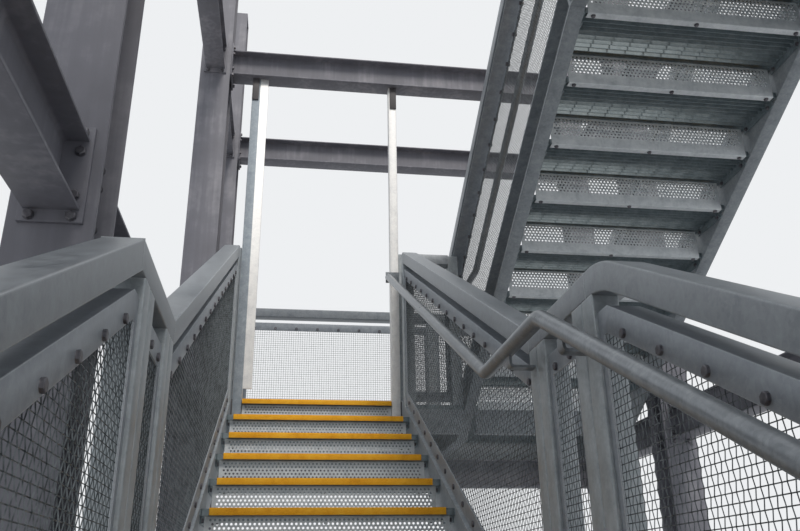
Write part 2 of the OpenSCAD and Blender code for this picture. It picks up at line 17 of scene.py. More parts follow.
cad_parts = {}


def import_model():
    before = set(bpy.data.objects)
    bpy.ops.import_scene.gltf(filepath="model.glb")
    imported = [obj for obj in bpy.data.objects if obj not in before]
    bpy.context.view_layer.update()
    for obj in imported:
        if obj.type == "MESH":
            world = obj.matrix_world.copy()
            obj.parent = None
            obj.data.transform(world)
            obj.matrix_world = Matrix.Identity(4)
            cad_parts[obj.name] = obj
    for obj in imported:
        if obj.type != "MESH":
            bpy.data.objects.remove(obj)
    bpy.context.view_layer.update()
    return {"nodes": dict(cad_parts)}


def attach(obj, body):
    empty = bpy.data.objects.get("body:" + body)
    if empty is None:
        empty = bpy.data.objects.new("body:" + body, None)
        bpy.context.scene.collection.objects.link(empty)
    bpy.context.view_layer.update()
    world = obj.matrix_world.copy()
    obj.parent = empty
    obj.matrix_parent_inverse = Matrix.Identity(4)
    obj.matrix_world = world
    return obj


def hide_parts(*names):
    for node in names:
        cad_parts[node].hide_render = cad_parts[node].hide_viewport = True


LOG = logging.getLogger("stair_tower")
MM = 0.001
BODY = "root"
WELD = 2e-5
FLAT_DEG = 0.5
X_AXIS = np.array([1.0, 0.0, 0.0])
U_AXIS = np.array([0.0, 1.0, 0.0])
Z_AXIS = np.array([0.0, 0.0, 1.0])


# Setting out of the stairs

@dataclass(frozen=True)
class Stair:
    """Sizes of one run: x across it, u along it from its first nosing, z up from its foot."""

    going: float = 310.0
    rise: float = 165.0
    risers: int = 9
    half_width: float = 560.0
    channel_depth: float = 200.0
    channel_width: float = 75.0
    half_landing: float = 930.0
    full_landing: float = 1450.0
    well: float = 367.0
    return_shift: float = 100.0
    curb: float = 8.0
    nosing_thickness: float = 4.0
    grating: float = 30.0
    guard: float = 1100.0
    post: float = 75.0
    post_gap: float = 4.0
    rail_width: float = 100.0
    rail_depth: float = 75.0
    tread_plate: float = 6.0
    riser: float = 3.0
    riser_set: float = 28.0
    riser_lip: float = 35.0
    low_post_set: float = 150.0
    pair_set: float = 65.0
    end_post_set: float = 70.0
    trimmer_set: float = 75.0
    far_away: float = 2e4

    @property
    def flight(self) -> float:
        """Length on plan of one flight."""
        return (self.risers - 1) * self.going

    @property
    def second(self) -> float:
        """Place of the first nosing after the half landing."""
        return self.flight + self.half_landing

    @property
    def restart(self) -> float:
        """Place where the nosing line climbs again after the half landing."""
        return self.second - self.going

    @property
    def end(self) -> float:
        """Place of the last nosing."""
        return self.second + self.flight

    @property
    def turn_level(self) -> float:
        """Height of the half landing above the run's foot."""
        return self.risers * self.rise

    @property
    def storey(self) -> float:
        """Height of one whole run."""
        return 2 * self.turn_level

    @property
    def toe(self) -> float:
        """Distance from a run's middle to the toes of its channels."""
        return self.half_width + self.channel_width

    @property
    def pitch(self) -> float:
        """Distance across between the middles of the two runs."""
        return 2 * self.toe + self.well

    @property
    def return_u(self) -> float:
        """Place, along the lower run, of the upper run's first nosing."""
        return self.end + self.return_shift

    @property
    def trimmer(self) -> float:
        """Place of a full landing's front trimmer."""
        return self.end + self.trimmer_set

    @property
    def rear(self) -> float:
        """Place of the web of a full landing's rear trimmer."""
        return self.end + self.full_landing - self.channel_width

    @property
    def pair_low(self) -> float:
        """Place of the first post at the half landing's lower end."""
        return self.flight + self.pair_set

    @property
    def pair_high(self) -> float:
        """Place of the last post at the half landing's upper end."""
        return self.restart - self.post

    @property
    def end_post(self) -> float:
        """Place of the post at a run's head."""
        return self.end - self.end_post_set - self.post

    def line(self, u: float) -> float:
        """Height of the nosing line.

        Args:
            u: place along the run.

        Returns:
            The height above the run's foot.
        """
        corners = (-self.going, self.flight, self.restart, self.far_away)
        top = self.turn_level + (self.far_away - self.restart) * self.rise / self.going
        return float(np.interp(u, corners, (0.0, self.turn_level, self.turn_level, top)))

    def nosing(self, number: int) -> tuple[float, float]:
        """Front edge of a step.

        Args:
            number: the step's number in its run, from 1.

        Returns:
            Its place and height.
        """
        if number <= self.risers:
            return (number - 1) * self.going, number * self.rise
        return self.second + (number - self.risers - 1) * self.going, number * self.rise


STAIR = Stair()


class Side(Enum):
    """Side of a run, seen by someone who goes up it."""

    LEFT = -1
    RIGHT = 1


class Run(Enum):
    """The two runs, and how far each is turned about the tower's middle."""

    LOWER = ("a", False)
    UPPER = ("b", True)

    @property
    def letter(self) -> str:
        """The run's letter in the names of nodes and pieces."""
        return self.value[0]

    @property
    def foot_post(self) -> float:
        """Place of the run's first post."""
        return STAIR.low_post_set - STAIR.going if self is Run.LOWER else -STAIR.going - 2 * STAIR.post

    def place(self, points: np.ndarray) -> np.ndarray:
        """Moves points of this run into the tower's frame.

        Args:
            points: rows of x, u and z.

        Returns:
            Rows in the tower's frame, still in millimetres.
        """
        middle = np.array([STAIR.pitch / 2, STAIR.return_u / 2, 0.0])
        moved = points - middle
        if self.value[1]:
            moved = moved * np.array([-1.0, -1.0, 1.0]) + np.array([0.0, 0.0, STAIR.storey])
        return moved


# Meshes

CUBE = np.array([[0, 0, 0], [1, 0, 0], [1, 1, 0], [0, 1, 0],
                 [0, 0, 1], [1, 0, 1], [1, 1, 1], [0, 1, 1]], float)
CUBE_FACES = np.array([[0, 3, 2, 1], [4, 5, 6, 7], [0, 1, 5, 4], [1, 2, 6, 5], [2, 3, 7, 6], [3, 0, 4, 7]])


def ring_faces(rings: int, sides: int) -> list[np.ndarray]:
    """Faces of a closed tube of rings of points, with flat ends.

    Args:
        rings: number of rings, one after the other.
        sides: points in each ring.

    Returns:
        Arrays of face corners, one for each number of corners.
    """
    a = np.arange(sides)
    b = (a + 1) % sides
    start = np.arange(rings - 1)[:, None] * sides
    quads = np.stack([start + a, start + b, start + sides + b, start + sides + a], -1).reshape(-1, 4)
    ends = np.stack([a[::-1], a + (rings - 1) * sides])
    return [quads, ends]


class Smooth(Enum):
    """Angle in degrees up to which an edge is shaded smooth."""

    BARS = 30.0
    ROLLED = 33.0
    SMALL = 35.0
    TUBES = 40.0
    WIRES = 60.0


def shown(mesh: bpy.types.Mesh, smooth: Smooth) -> bpy.types.Object:
    """Shades a mesh and puts it in the scene.

    Args:
        mesh: the mesh, which gives the object its name.
        smooth: which edges are shaded smooth.

    Returns:
        The new object.
    """
    mesh.polygons.foreach_set("use_smooth", np.ones(len(mesh.polygons), bool))
    mesh.set_sharp_from_angle(angle=math.radians(smooth.value))
    made = bpy.data.objects.new(mesh.name, mesh)
    bpy.context.scene.collection.objects.link(made)
    return made


class Sketch:
    """Points and faces of one mesh, in millimetres."""

    def __init__(self) -> None:
        """Starts with nothing drawn."""
        self.points: list[np.ndarray] = []
        self.faces: list[np.ndarray] = []
        self.count = 0

    def add(self, points: np.ndarray, faces: list[np.ndarray], flip: bool = False) -> None:
        """Adds points and the faces between them.

        Args:
            points: rows of three coordinates.
            faces: arrays of face corners, counted from the first of these points.
            flip: whether the points were mirrored, so that the faces turn round.
        """
        for group in faces:
            group = np.asarray(group)
            self.faces.append((group[:, ::-1] if flip else group) + self.count)
        self.points.append(np.asarray(points, float))
        self.count += len(points)

    def boxes(self, low: np.ndarray, high: np.ndarray) -> None:
        """Adds upright boxes.

        Args:
            low: lowest corners, one row each.
            high: highest corners, one row each.
        """
        low = np.atleast_2d(np.asarray(low, float))
        high = np.atleast_2d(np.asarray(high, float))
        points = low[:, None, :] + CUBE[None] * (high - low)[:, None, :]
        faces = (np.arange(len(low))[:, None, None] * 8 + CUBE_FACES[None]).reshape(-1, 4)
        self.add(points.reshape(-1, 3), [faces])

    def sweep(self, path: np.ndarray, section: np.ndarray, across: np.ndarray) -> None:
        """Adds a section carried along a flat path, mitred at the bends.

        Args:
            path: rows of points, all in one plane.
            section: rows of two distances, along across and square to it.
            across: unit vector square to the path's plane.
        """
        path = np.asarray(path, float)
        steps = np.diff(path, axis=0)
        steps /= np.linalg.norm(steps, axis=1)[:, None]
        normals = np.cross(steps, across)
        both = np.concatenate([normals[:1], normals[:-1] + normals[1:], normals[-1:]])
        both /= np.linalg.norm(both, axis=1)[:, None]
        first = np.concatenate([normals[:1], normals])
        both /= np.sum(both * first, axis=1)[:, None]
        rings = path[:, None] + section[None, :, :1] * across + section[None, :, 1:] * both[:, None]
        self.add(rings.reshape(-1, 3), ring_faces(len(path), len(section)), flip=True)

    def lathe(self, profile: list[tuple[float, float]], sides: int, at: np.ndarray,
              axis: np.ndarray) -> None:
        """Adds the same turned or many-sided shape at several places.

        Args:
            profile: radius and height of each ring.
            sides: sides of every ring.
            at: rows of places.
            axis: unit vector of the shape's height.
        """
        at = np.atleast_2d(np.asarray(at, float))
        side = X_AXIS if abs(axis[0]) < 0.5 else U_AXIS
        side = np.cross(axis, side)
        side /= np.linalg.norm(side)
        other = np.cross(axis, side)
        rim = circle(1.0, sides) @ np.stack([side, other])
        shape = np.concatenate([radius * rim + height * axis for radius, height in profile])
        points = (at[:, None] + shape[None]).reshape(-1, 3)
        faces = [(np.arange(len(at))[:, None, None] * len(shape) + group[None]).reshape(-1, group.shape[1])
                 for group in ring_faces(len(profile), sides)]
        self.add(points, faces)

    def copy_to(self, other: "Sketch", shift: np.ndarray) -> None:
        """Adds a moved copy of everything drawn to another sketch."""
        other.add(np.concatenate(self.points) + shift, self.faces)

    def in_run(self, run: Run) -> "Sketch":
        """Moves all that is drawn into the tower's frame and returns the sketch."""
        self.points = [run.place(np.concatenate(self.points))]
        return self

    def joined(self, other: "Sketch") -> "Sketch":
        """Adds another sketch's drawing as it is and returns this one."""
        other.copy_to(self, np.zeros(3))
        return self

    def piece(self, name: str, smooth: Smooth) -> bpy.types.Object:
        """Makes the Blender object.

        Args:
            name: the piece's name.
            smooth: which edges are shaded smooth.

        Returns:
            The new object, in metres.
        """
        points = np.concatenate(self.points) * MM
        corners = np.concatenate([f.reshape(-1) for f in self.faces])
        sizes = np.concatenate([np.full(len(f), f.shape[1]) for f in self.faces])
        mesh = bpy.data.meshes.new(name)
        mesh.vertices.add(len(points))
        mesh.vertices.foreach_set("co", points.reshape(-1).astype(np.float32))
        mesh.loops.add(len(corners))
        mesh.loops.foreach_set("vertex_index", corners.astype(np.int32))
        mesh.polygons.add(len(sizes))
        mesh.polygons.foreach_set("loop_start", (np.cumsum(sizes) - sizes).astype(np.int32))
        mesh.update(calc_edges=True)
        return shown(mesh, smooth)


def in_both_runs(draw: Callable[[Sketch, Run], None]) -> Sketch:
    """Draws something for each run and moves it to its place.

    Args:
        draw: adds the drawing of one run to a sketch, in that run's own frame.

    Returns:
        Both runs' drawings, in the tower's frame.
    """
    whole = Sketch()
    for run in Run:
        part = Sketch()
        draw(part, run)
        whole.joined(part.in_run(run))
    return whole


def circle(radius: float, sides: int) -> np.ndarray:
    """Section of a round bar, as rows of two distances."""
    angle = np.arange(sides) * 2 * math.pi / sides
    return radius * np.stack([np.cos(angle), np.sin(angle)], 1)


def bent(corners: list[np.ndarray], radius: float, steps: int) -> np.ndarray:
    """Path through corners with round bends.

    Args:
        corners: rows of points.
        radius: radius of the path at each bend.
        steps: straight steps in each bend.

    Returns:
        Rows of points.
    """
    path = [corners[0]]
    for before, here, after in zip(corners, corners[1:], corners[2:]):
        back = (before - here) / np.linalg.norm(before - here)
        on = (after - here) / np.linalg.norm(after - here)
        half = math.acos(float(np.clip(back @ on, -1, 1))) / 2
        centre = here + (back + on) / np.linalg.norm(back + on) * radius / math.sin(half)
        start = here + back * radius / math.tan(half) - centre
        stop = here + on * radius / math.tan(half) - centre
        sweep = math.pi - 2 * half
        for i in range(steps + 1):
            t = i / steps
            path.append(centre + (math.sin((1 - t) * sweep) * start + math.sin(t * sweep) * stop)
                        / math.sin(sweep))
    path.append(corners[-1])
    return np.array(path)


# Finishes

def linear(code: str) -> tuple[float, float, float, float]:
    """Linear colour of an sRGB hex code."""
    parts = [int(code[i:i + 2], 16) / 255 for i in (0, 2, 4)]
    return (*(p / 12.92 if p <= 0.04045 else ((p + 0.055) / 1.055) ** 2.4 for p in parts), 1.0)


def add_node(tree: bpy.types.NodeTree, kind: str, **settings: object) -> bpy.types.Node:
    """Adds a node with its settings and links.

    Args:
        tree: the material's node tree.
        kind: the node's type, without its ShaderNode prefix.
        settings: attributes, and inputs by name with _ for a space, or by number after i.
            A value that is an output socket is linked.

    Returns:
        The new node.
    """
    node = tree.nodes.new("ShaderNode" + kind)
    for key, value in settings.items():
        if hasattr(node, key):
            setattr(node, key, value)
            continue
        number = key[1:] if key[0] == "i" and key[1:].isdigit() else None
        socket = node.inputs[int(number)] if number else node.inputs[key.replace("_", " ")]
        if isinstance(value, bpy.types.NodeSocket):
            tree.links.new(value, socket)
        else:
            socket.default_value = value
    return node


def ramp(tree: bpy.types.NodeTree, source: bpy.types.NodeSocket,
         stops: list[tuple[float, tuple[float, ...]]]) -> bpy.types.NodeSocket:
    """Colour ramp over a value.

    Args:
        tree: the material's node tree.
        source: the value.
        stops: position and linear colour of each stop.

    Returns:
        The ramp's colour output.
    """
    node = add_node(tree, "ValToRGB", Fac=source)
    elements = node.color_ramp.elements
    while len(elements) < len(stops):
        elements.new(0.5)
    for element, (position, colour) in zip(elements, stops):
        element.position = position
        element.color = colour
    return node.outputs["Color"]


def per_mm(size_mm: float) -> float:
    """Texture scale that makes one cell of a pattern this many millimetres."""
    return 1.0 / (size_mm * MM)


@dataclass(frozen=True)
class Finish:
    """A named surface of one real material."""

    name: str
    base: str
    roughness: float

    def material(self) -> bpy.types.Material:
        """Makes the Blender material, or finds it where it was made before.

        Returns:
            The material.
        """
        found = bpy.data.materials.get(self.name)
        if found:
            return found
        made = bpy.data.materials.new(self.name)
        made.use_nodes = True
        made.diffuse_color = linear(self.base)
        shader = made.node_tree.nodes["Principled BSDF"]
        shader.inputs["Roughness"].default_value = self.roughness
        place = add_node(made.node_tree, "TexCoord").outputs["Object"]
        self.draw(made.node_tree, shader, place)
        return made

    def draw(self, tree: bpy.types.NodeTree, shader: bpy.types.Node, place: bpy.types.NodeSocket) -> None:
        """Adds this finish's own pattern."""
        shader.inputs["Base Color"].default_value = linear(self.base)


@dataclass(frozen=True)
class HotDipZinc(Finish):
    """Steel dipped in molten zinc and left to dull.

    It is a matt blue-grey metal, mottled in soft patches where the zinc crystals and the first white
    oxide show, with faint streaks where the bath drained off.
    """

    pale: str = "C9CED0"
    dark: str = "7F888C"
    crystal_mm: float = 9.0
    patch_mm: float = 55.0
    streak_mm: float = 14.0
    grain_mm: float = 2.2
    crystal_share: float = 0.16
    streak_share: float = 0.25
    tones: tuple[float, float, float] = (0.42, 0.70, 0.95)
    metallic: float = 0.40
    # Width of a painted highlight along the convex edges, which also stands for worn zinc; 0 leaves it out.
    edge_wear_and_highlight_mm: float = 0.0
    edge_wear_and_highlight_colour: str = "D2D6D9"

    def draw(self, tree: bpy.types.NodeTree, shader: bpy.types.Node, place: bpy.types.NodeSocket) -> None:
        """Mottles the zinc with patches, crystals and streaks.

        Args:
            tree: the material's node tree.
            shader: its Principled shader.
            place: the texture coordinate, in metres.
        """
        patches = add_node(tree, "TexNoise", Vector=place, Scale=per_mm(self.patch_mm), Detail=5.0,
                           Roughness=0.62, Distortion=0.4)
        crystals = add_node(tree, "TexVoronoi", Vector=place, Scale=per_mm(self.crystal_mm),
                            Randomness=1.0)
        crystal = add_node(tree, "SeparateColor", Color=crystals.outputs["Color"]).outputs["Red"]
        upright = add_node(tree, "Mapping", Vector=place, Scale=(1.0, 1.0, 0.06))
        streaks = add_node(tree, "TexNoise", Vector=upright.outputs["Vector"],
                           Scale=per_mm(self.streak_mm), Detail=3.0, Roughness=0.55)
        first = add_node(tree, "Math", operation="MULTIPLY_ADD", i0=crystal, i1=self.crystal_share,
                         i2=patches.outputs["Fac"])
        tone = add_node(tree, "Math", operation="MULTIPLY_ADD", i0=streaks.outputs["Fac"],
                        i1=self.streak_share, i2=first.outputs["Value"])
        colours = [linear(code) for code in (self.dark, self.base, self.pale)]
        colour = ramp(tree, tone.outputs["Value"], list(zip(self.tones, colours)))
        # Paints a highlight along the convex edges, which also stands for worn zinc.
        if self.edge_wear_and_highlight_mm:
            colour = self.worn(tree, colour)
        dull = add_node(tree, "MapRange", Value=tone.outputs["Value"], From_Min=self.tones[0],
                        From_Max=self.tones[2], To_Min=self.roughness - 0.07, To_Max=self.roughness + 0.10)
        grain = add_node(tree, "TexNoise", Vector=place, Scale=per_mm(self.grain_mm), Detail=2.0)
        relief = add_node(tree, "Math", operation="MULTIPLY_ADD", i0=patches.outputs["Fac"], i1=2.0,
                          i2=grain.outputs["Fac"])
        bump = add_node(tree, "Bump", Height=relief.outputs["Value"], Strength=0.10, Distance=0.0012)
        shader.inputs["Metallic"].default_value = self.metallic
        tree.links.new(colour, shader.inputs["Base Color"])
        tree.links.new(dull.outputs["Result"], shader.inputs["Roughness"])
        tree.links.new(bump.outputs["Normal"], shader.inputs["Normal"])

    def worn(self, tree: bpy.types.NodeTree, colour: bpy.types.NodeSocket) -> bpy.types.NodeSocket:
        """Brightens the convex edges with a painted highlight, which also stands for zinc worn there by
        hands and straps.

        Args:
            tree: the material's node tree.
            colour: the colour of the faces.

        Returns:
            The colour of faces and edges.
        """
        rounded = add_node(tree, "Bevel", samples=6, Radius=self.edge_wear_and_highlight_mm * MM)
        flat = add_node(tree, "NewGeometry")
        alike = add_node(tree, "VectorMath", operation="DOT_PRODUCT", i0=rounded.outputs["Normal"],
                         i1=flat.outputs["Normal"])
        # edge is the mask of the painted highlight on the convex edges.
        edge = add_node(tree, "MapRange", Value=alike.outputs["Value"], From_Min=0.995, From_Max=0.90,
                        To_Min=0.0, To_Max=0.75)
        return add_node(tree, "Mix", data_type="RGBA", i0=edge.outputs["Result"], i6=colour,
                        i7=linear(self.edge_wear_and_highlight_colour)).outputs[2]


@dataclass(frozen=True)
class SprayedPaint(Finish):
    """Structural steel with a sprayed matt coat over shot-blasted primer.

    It is an even cool grey with the slight orange peel of a thick coat, a little dust on it, and faint
    runs of dirt down its faces.
    """

    dust: str = "A8A29E"
    shade: float = 0.86
    peel_mm: float = 3.0
    cloud_mm: float = 260.0
    run_mm: float = 30.0

    def draw(self, tree: bpy.types.NodeTree, shader: bpy.types.Node, place: bpy.types.NodeSocket) -> None:
        """Adds dust clouds, dirt runs and orange peel.

        Args:
            tree: the material's node tree.
            shader: its Principled shader.
            place: the texture coordinate, in metres.
        """
        clouds = add_node(tree, "TexNoise", Vector=place, Scale=per_mm(self.cloud_mm), Detail=6.0,
                          Roughness=0.6)
        upright = add_node(tree, "Mapping", Vector=place, Scale=(1.0, 1.0, 0.05))
        runs = add_node(tree, "TexNoise", Vector=upright.outputs["Vector"], Scale=per_mm(self.run_mm),
                        Detail=4.0)
        tone = add_node(tree, "Math", operation="MULTIPLY_ADD", i0=runs.outputs["Fac"], i1=0.5,
                        i2=clouds.outputs["Fac"])
        base = linear(self.base)
        shaded = tuple(c * self.shade for c in base[:3]) + (1.0,)
        colour = ramp(tree, tone.outputs["Value"],
                      [(0.55, shaded), (0.76, base), (1.0, linear(self.dust))])
        peel = add_node(tree, "TexNoise", Vector=place, Scale=per_mm(self.peel_mm), Detail=2.0)
        bump = add_node(tree, "Bump", Height=peel.outputs["Fac"], Strength=0.12, Distance=0.0006)
        tree.links.new(colour, shader.inputs["Base Color"])
        tree.links.new(bump.outputs["Normal"], shader.inputs["Normal"])


@dataclass(frozen=True)
class GrittyResin(Finish):
    """Glass-fibre strip with grit set in a pigmented resin.

    It is a dry, saturated orange-yellow with a sandy sparkle-free surface and dirt trodden into it.
    """

    worn: str = "B9770A"
    fresh: str = "FBC23A"
    wear_mm: float = 70.0
    grit_mm: float = 1.8

    def draw(self, tree: bpy.types.NodeTree, shader: bpy.types.Node, place: bpy.types.NodeSocket) -> None:
        """Adds grit, drawn at nearly twice its real size so that it shows, and worn patches.

        Args:
            tree: the material's node tree.
            shader: its Principled shader.
            place: the texture coordinate, in metres.
        """
        wear = add_node(tree, "TexNoise", Vector=place, Scale=per_mm(self.wear_mm), Detail=6.0,
                        Roughness=0.7)
        grit = add_node(tree, "TexVoronoi", Vector=place, Scale=per_mm(self.grit_mm))
        specks = add_node(tree, "Math", operation="MULTIPLY_ADD", i0=grit.outputs["Distance"], i1=0.35,
                          i2=wear.outputs["Fac"])
        colour = ramp(tree, specks.outputs["Value"],
                      [(0.38, linear(self.worn)), (0.62, linear(self.base)), (0.95, linear(self.fresh))])
        bump = add_node(tree, "Bump", Height=grit.outputs["Distance"], Strength=0.55, Distance=0.0008)
        tree.links.new(colour, shader.inputs["Base Color"])
        tree.links.new(bump.outputs["Normal"], shader.inputs["Normal"])


@dataclass(frozen=True)
class DrawnSteel(Finish):
    """Drawn steel, woven as wire or headed as bolts, and then galvanised.

    It is a dull dark metal whose crowns catch small highlights, with darker patches between them.
    """

    dark: str = "4A4F51"
    patch_mm: float = 30.0
    scratch_mm: float = 1.5
    metallic: float = 0.75

    def draw(self, tree: bpy.types.NodeTree, shader: bpy.types.Node, place: bpy.types.NodeSocket) -> None:
        """Adds patches of dull and brighter metal, and fine drawing scratches.

        Args:
            tree: the material's node tree.
            shader: its Principled shader.
            place: the texture coordinate, in metres.
        """
        patches = add_node(tree, "TexNoise", Vector=place, Scale=per_mm(self.patch_mm), Detail=4.0,
                           Roughness=0.65)
        colour = ramp(tree, patches.outputs["Fac"], [(0.35, linear(self.dark)), (0.65, linear(self.base))])
        scratches = add_node(tree, "TexNoise", Vector=place, Scale=per_mm(self.scratch_mm), Detail=2.0)
        bump = add_node(tree, "Bump", Height=scratches.outputs["Fac"], Strength=0.2, Distance=0.0004)
        shader.inputs["Metallic"].default_value = self.metallic
        tree.links.new(colour, shader.inputs["Base Color"])
        tree.links.new(bump.outputs["Normal"], shader.inputs["Normal"])


# Rolled channel, dipped whole: an even blue-grey with faint mottling.
CHANNEL_ZINC = HotDipZinc("galvanised_rolled_channel", "8F959A", 0.50, pale="A0A6AA", dark="7B8287")
# Square tube of the rails: smoother and a little darker, with a painted highlight along its edges that also
# stands for worn zinc.
TUBE_ZINC = HotDipZinc("galvanised_square_tube", "8C9196", 0.42, pale="979DA2", dark="787E84", edge_wear_and_highlight_mm=6.0)
# Square tube of the posts: a paler copy of the rails' zinc, painted as the light and highlight on the posts'
# fronts, with the same painted edge highlight.
LIT_POST_ZINC = HotDipZinc("lit_post_tube", "9FA6AA", 0.42, pale="B0B6BA", dark="8B9297", edge_wear_and_highlight_mm=5.0)
# Flat bar of the mesh frames: matt and mid grey, with a thin painted highlight along its edges.
FLAT_ZINC = HotDipZinc("galvanised_flat_bar", "8E949B", 0.48, pale="9DA3A9", dark="7E848B", edge_wear_and_highlight_mm=4.0)
# Round tube: polished by hands, so it is darker, glossier and more metallic than the rest.
HANDRAIL_ZINC = HotDipZinc("galvanised_round_tube", "84898E", 0.34, pale="989DA1", dark="6F757A",
                           metallic=0.70)
# Bar grating: dull zinc with a green-blue cast, painted darker than the other zinc as the shade on its
# undersides.
GRATING_ZINC = HotDipZinc("galvanised_bar_grating", "7A868B", 0.50, pale="8E999E", dark="667277")
# Perforated sheet: thin and freshly dipped, so it is the palest, with large soft crystals.
SHEET_ZINC = HotDipZinc("galvanised_perforated_sheet", "D0D5D8", 0.48, pale="DDE1E3", dark="BBC1C5",
                        crystal_mm=14.0)
# Hanger angle: a bright, nearly white copy of the hanger zinc, painted as sunlit, with hardly any mottling.
LIT_HANGER_ZINC = HotDipZinc("lit_hanger_angle", "DCDCDB", 0.46, pale="E6E6E4", dark="CDCECE")
# Left hanger's tube: a dull blue-grey copy of the same zinc, painted as shade.
SHADED_HANGER_ZINC = HotDipZinc("shaded_hanger_tube", "8A939B", 0.54, pale="9BA4AB", dark="78818A")
# Sprayed columns and beams: a matt cool grey coat, with pale dust in soft clouds.
FRAME_PAINT = SprayedPaint("sprayed_structural_steel", "6F6F77", 0.60, dust="8B8A90")
# Sprayed brackets: the same matt coat in a much darker grey.
BRACKET_PAINT = SprayedPaint("sprayed_bracket_plate", "4A4749", 0.60, dust="5E5B5D")
# Nosing strip: dry orange-yellow resin, browner where feet have worn it.
NOSING_RESIN = GrittyResin("gritty_nosing_resin", "F0A816", 0.85, worn="C9850E")
# Woven wire: dull grey, with much darker patches at random.
MESH_WIRE = DrawnSteel("galvanised_woven_wire", "757B7E", 0.46, dark="3F4446")
# Bolts and nuts: dull zinc, painted darker than the flats that they clamp as the shade on their flanks.
BOLT_STEEL = DrawnSteel("dull_zinc_bolt_steel", "7E7D82", 0.48, dark="55545A")


def dress(piece: bpy.types.Object, finish: Finish, slot: str, *replaced: str) -> bpy.types.Object:
    """Gives a piece its finish and its place in the frame.

    Args:
        piece: the Blender object.
        finish: its surface.
        slot: the record's slot of that surface, which is not used.
        replaced: the CAD nodes that it stands for.

    Returns:
        The same object.
    """
    piece.data.materials.clear()
    piece.data.materials.append(finish.material())
    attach(piece, BODY)
    if replaced:
        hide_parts(*replaced)
    LOG.info("%s: %d faces", piece.name, len(piece.data.polygons))
    return piece


# Rolled, welded and cut steel

@dataclass(frozen=True)
class SoftEdges:
    """How the edges of a CAD node are rounded to make its visible piece."""

    node: str
    finish: Finish
    slot: str
    edge: float = 1.5
    steps: int = 2
    shortest: float = 0.0
    root: float = 0.0
    root_steps: int = 4
    root_shortest: float = 400.0
    fold: float = 0.35
    clamped: bool = True
    also: tuple[str, ...] = ()

    def build(self, nodes: dict[str, bpy.types.Object]) -> bpy.types.Object:
        """Copies the node's mesh, rounds its edges and dresses it.

        Args:
            nodes: the CAD nodes.

        Returns:
            The visible piece.
        """
        work = bmesh.new()
        for name in (self.node, *self.also):
            part = bmesh.new()
            part.from_mesh(nodes[name].data)
            bmesh.ops.remove_doubles(part, verts=part.verts[:], dist=WELD)
            self.merge_flat(part)
            clean = bpy.data.meshes.new(name)
            part.to_mesh(clean)
            part.free()
            work.from_mesh(clean)
            bpy.data.meshes.remove(clean)
        self.bend(work)
        if self.root:
            self.bevel(work, self.root, self.root_steps, self.root_shortest * MM, hollow=True)
        self.bevel(work, self.edge, self.steps, self.shortest * MM, hollow=False)
        self.cut(work)
        mesh = bpy.data.meshes.new(self.node + "_steel")
        work.to_mesh(mesh)
        work.free()
        piece = dress(shown(mesh, Smooth.ROLLED), self.finish, self.slot, self.node, *self.also)
        self.second_finish(piece)
        return piece

    @staticmethod
    def merge_flat(work: bmesh.types.BMesh) -> None:
        """Joins faces that lie in one plane."""
        bmesh.ops.dissolve_limit(work, angle_limit=math.radians(FLAT_DEG), verts=work.verts[:],
                                 edges=work.edges[:], use_dissolve_boundaries=False)

    def second_finish(self, piece: bpy.types.Object) -> None:
        """Gives part of the piece another finish, where there is one."""

    def bend(self, work: bmesh.types.BMesh) -> None:
        """Changes a corner into a round bend, where there is one."""

    def along_bend(self, edge: bmesh.types.BMEdge) -> bool:
        """Whether a short edge belongs to a round bend and is rounded like the long ones."""
        return False

    def cut(self, work: bmesh.types.BMesh) -> None:
        """Cuts the faces where a second finish starts, if there is one."""

    def bevel(self, work: bmesh.types.BMesh, width: float, steps: int, shortest: float,
              hollow: bool) -> None:
        """Rounds either the outside edges or the long inside corners.

        Args:
            work: the mesh.
            width: width of the rounding in millimetres.
            steps: faces across it.
            shortest: edges below this length in metres stay sharp.
            hollow: whether the inside corners are meant.
        """
        turn = -1 if hollow else 1
        edges = [e for e in work.edges
                 if len(e.link_faces) == 2 and e.calc_face_angle_signed(0.0) * turn > self.fold
                 and (e.calc_length() > shortest or self.along_bend(e))]
        bmesh.ops.bevel(work, geom=edges, offset=width * MM, offset_type="OFFSET", segments=steps,
                        profile=0.5, affect="EDGES", clamp_overlap=self.clamped)


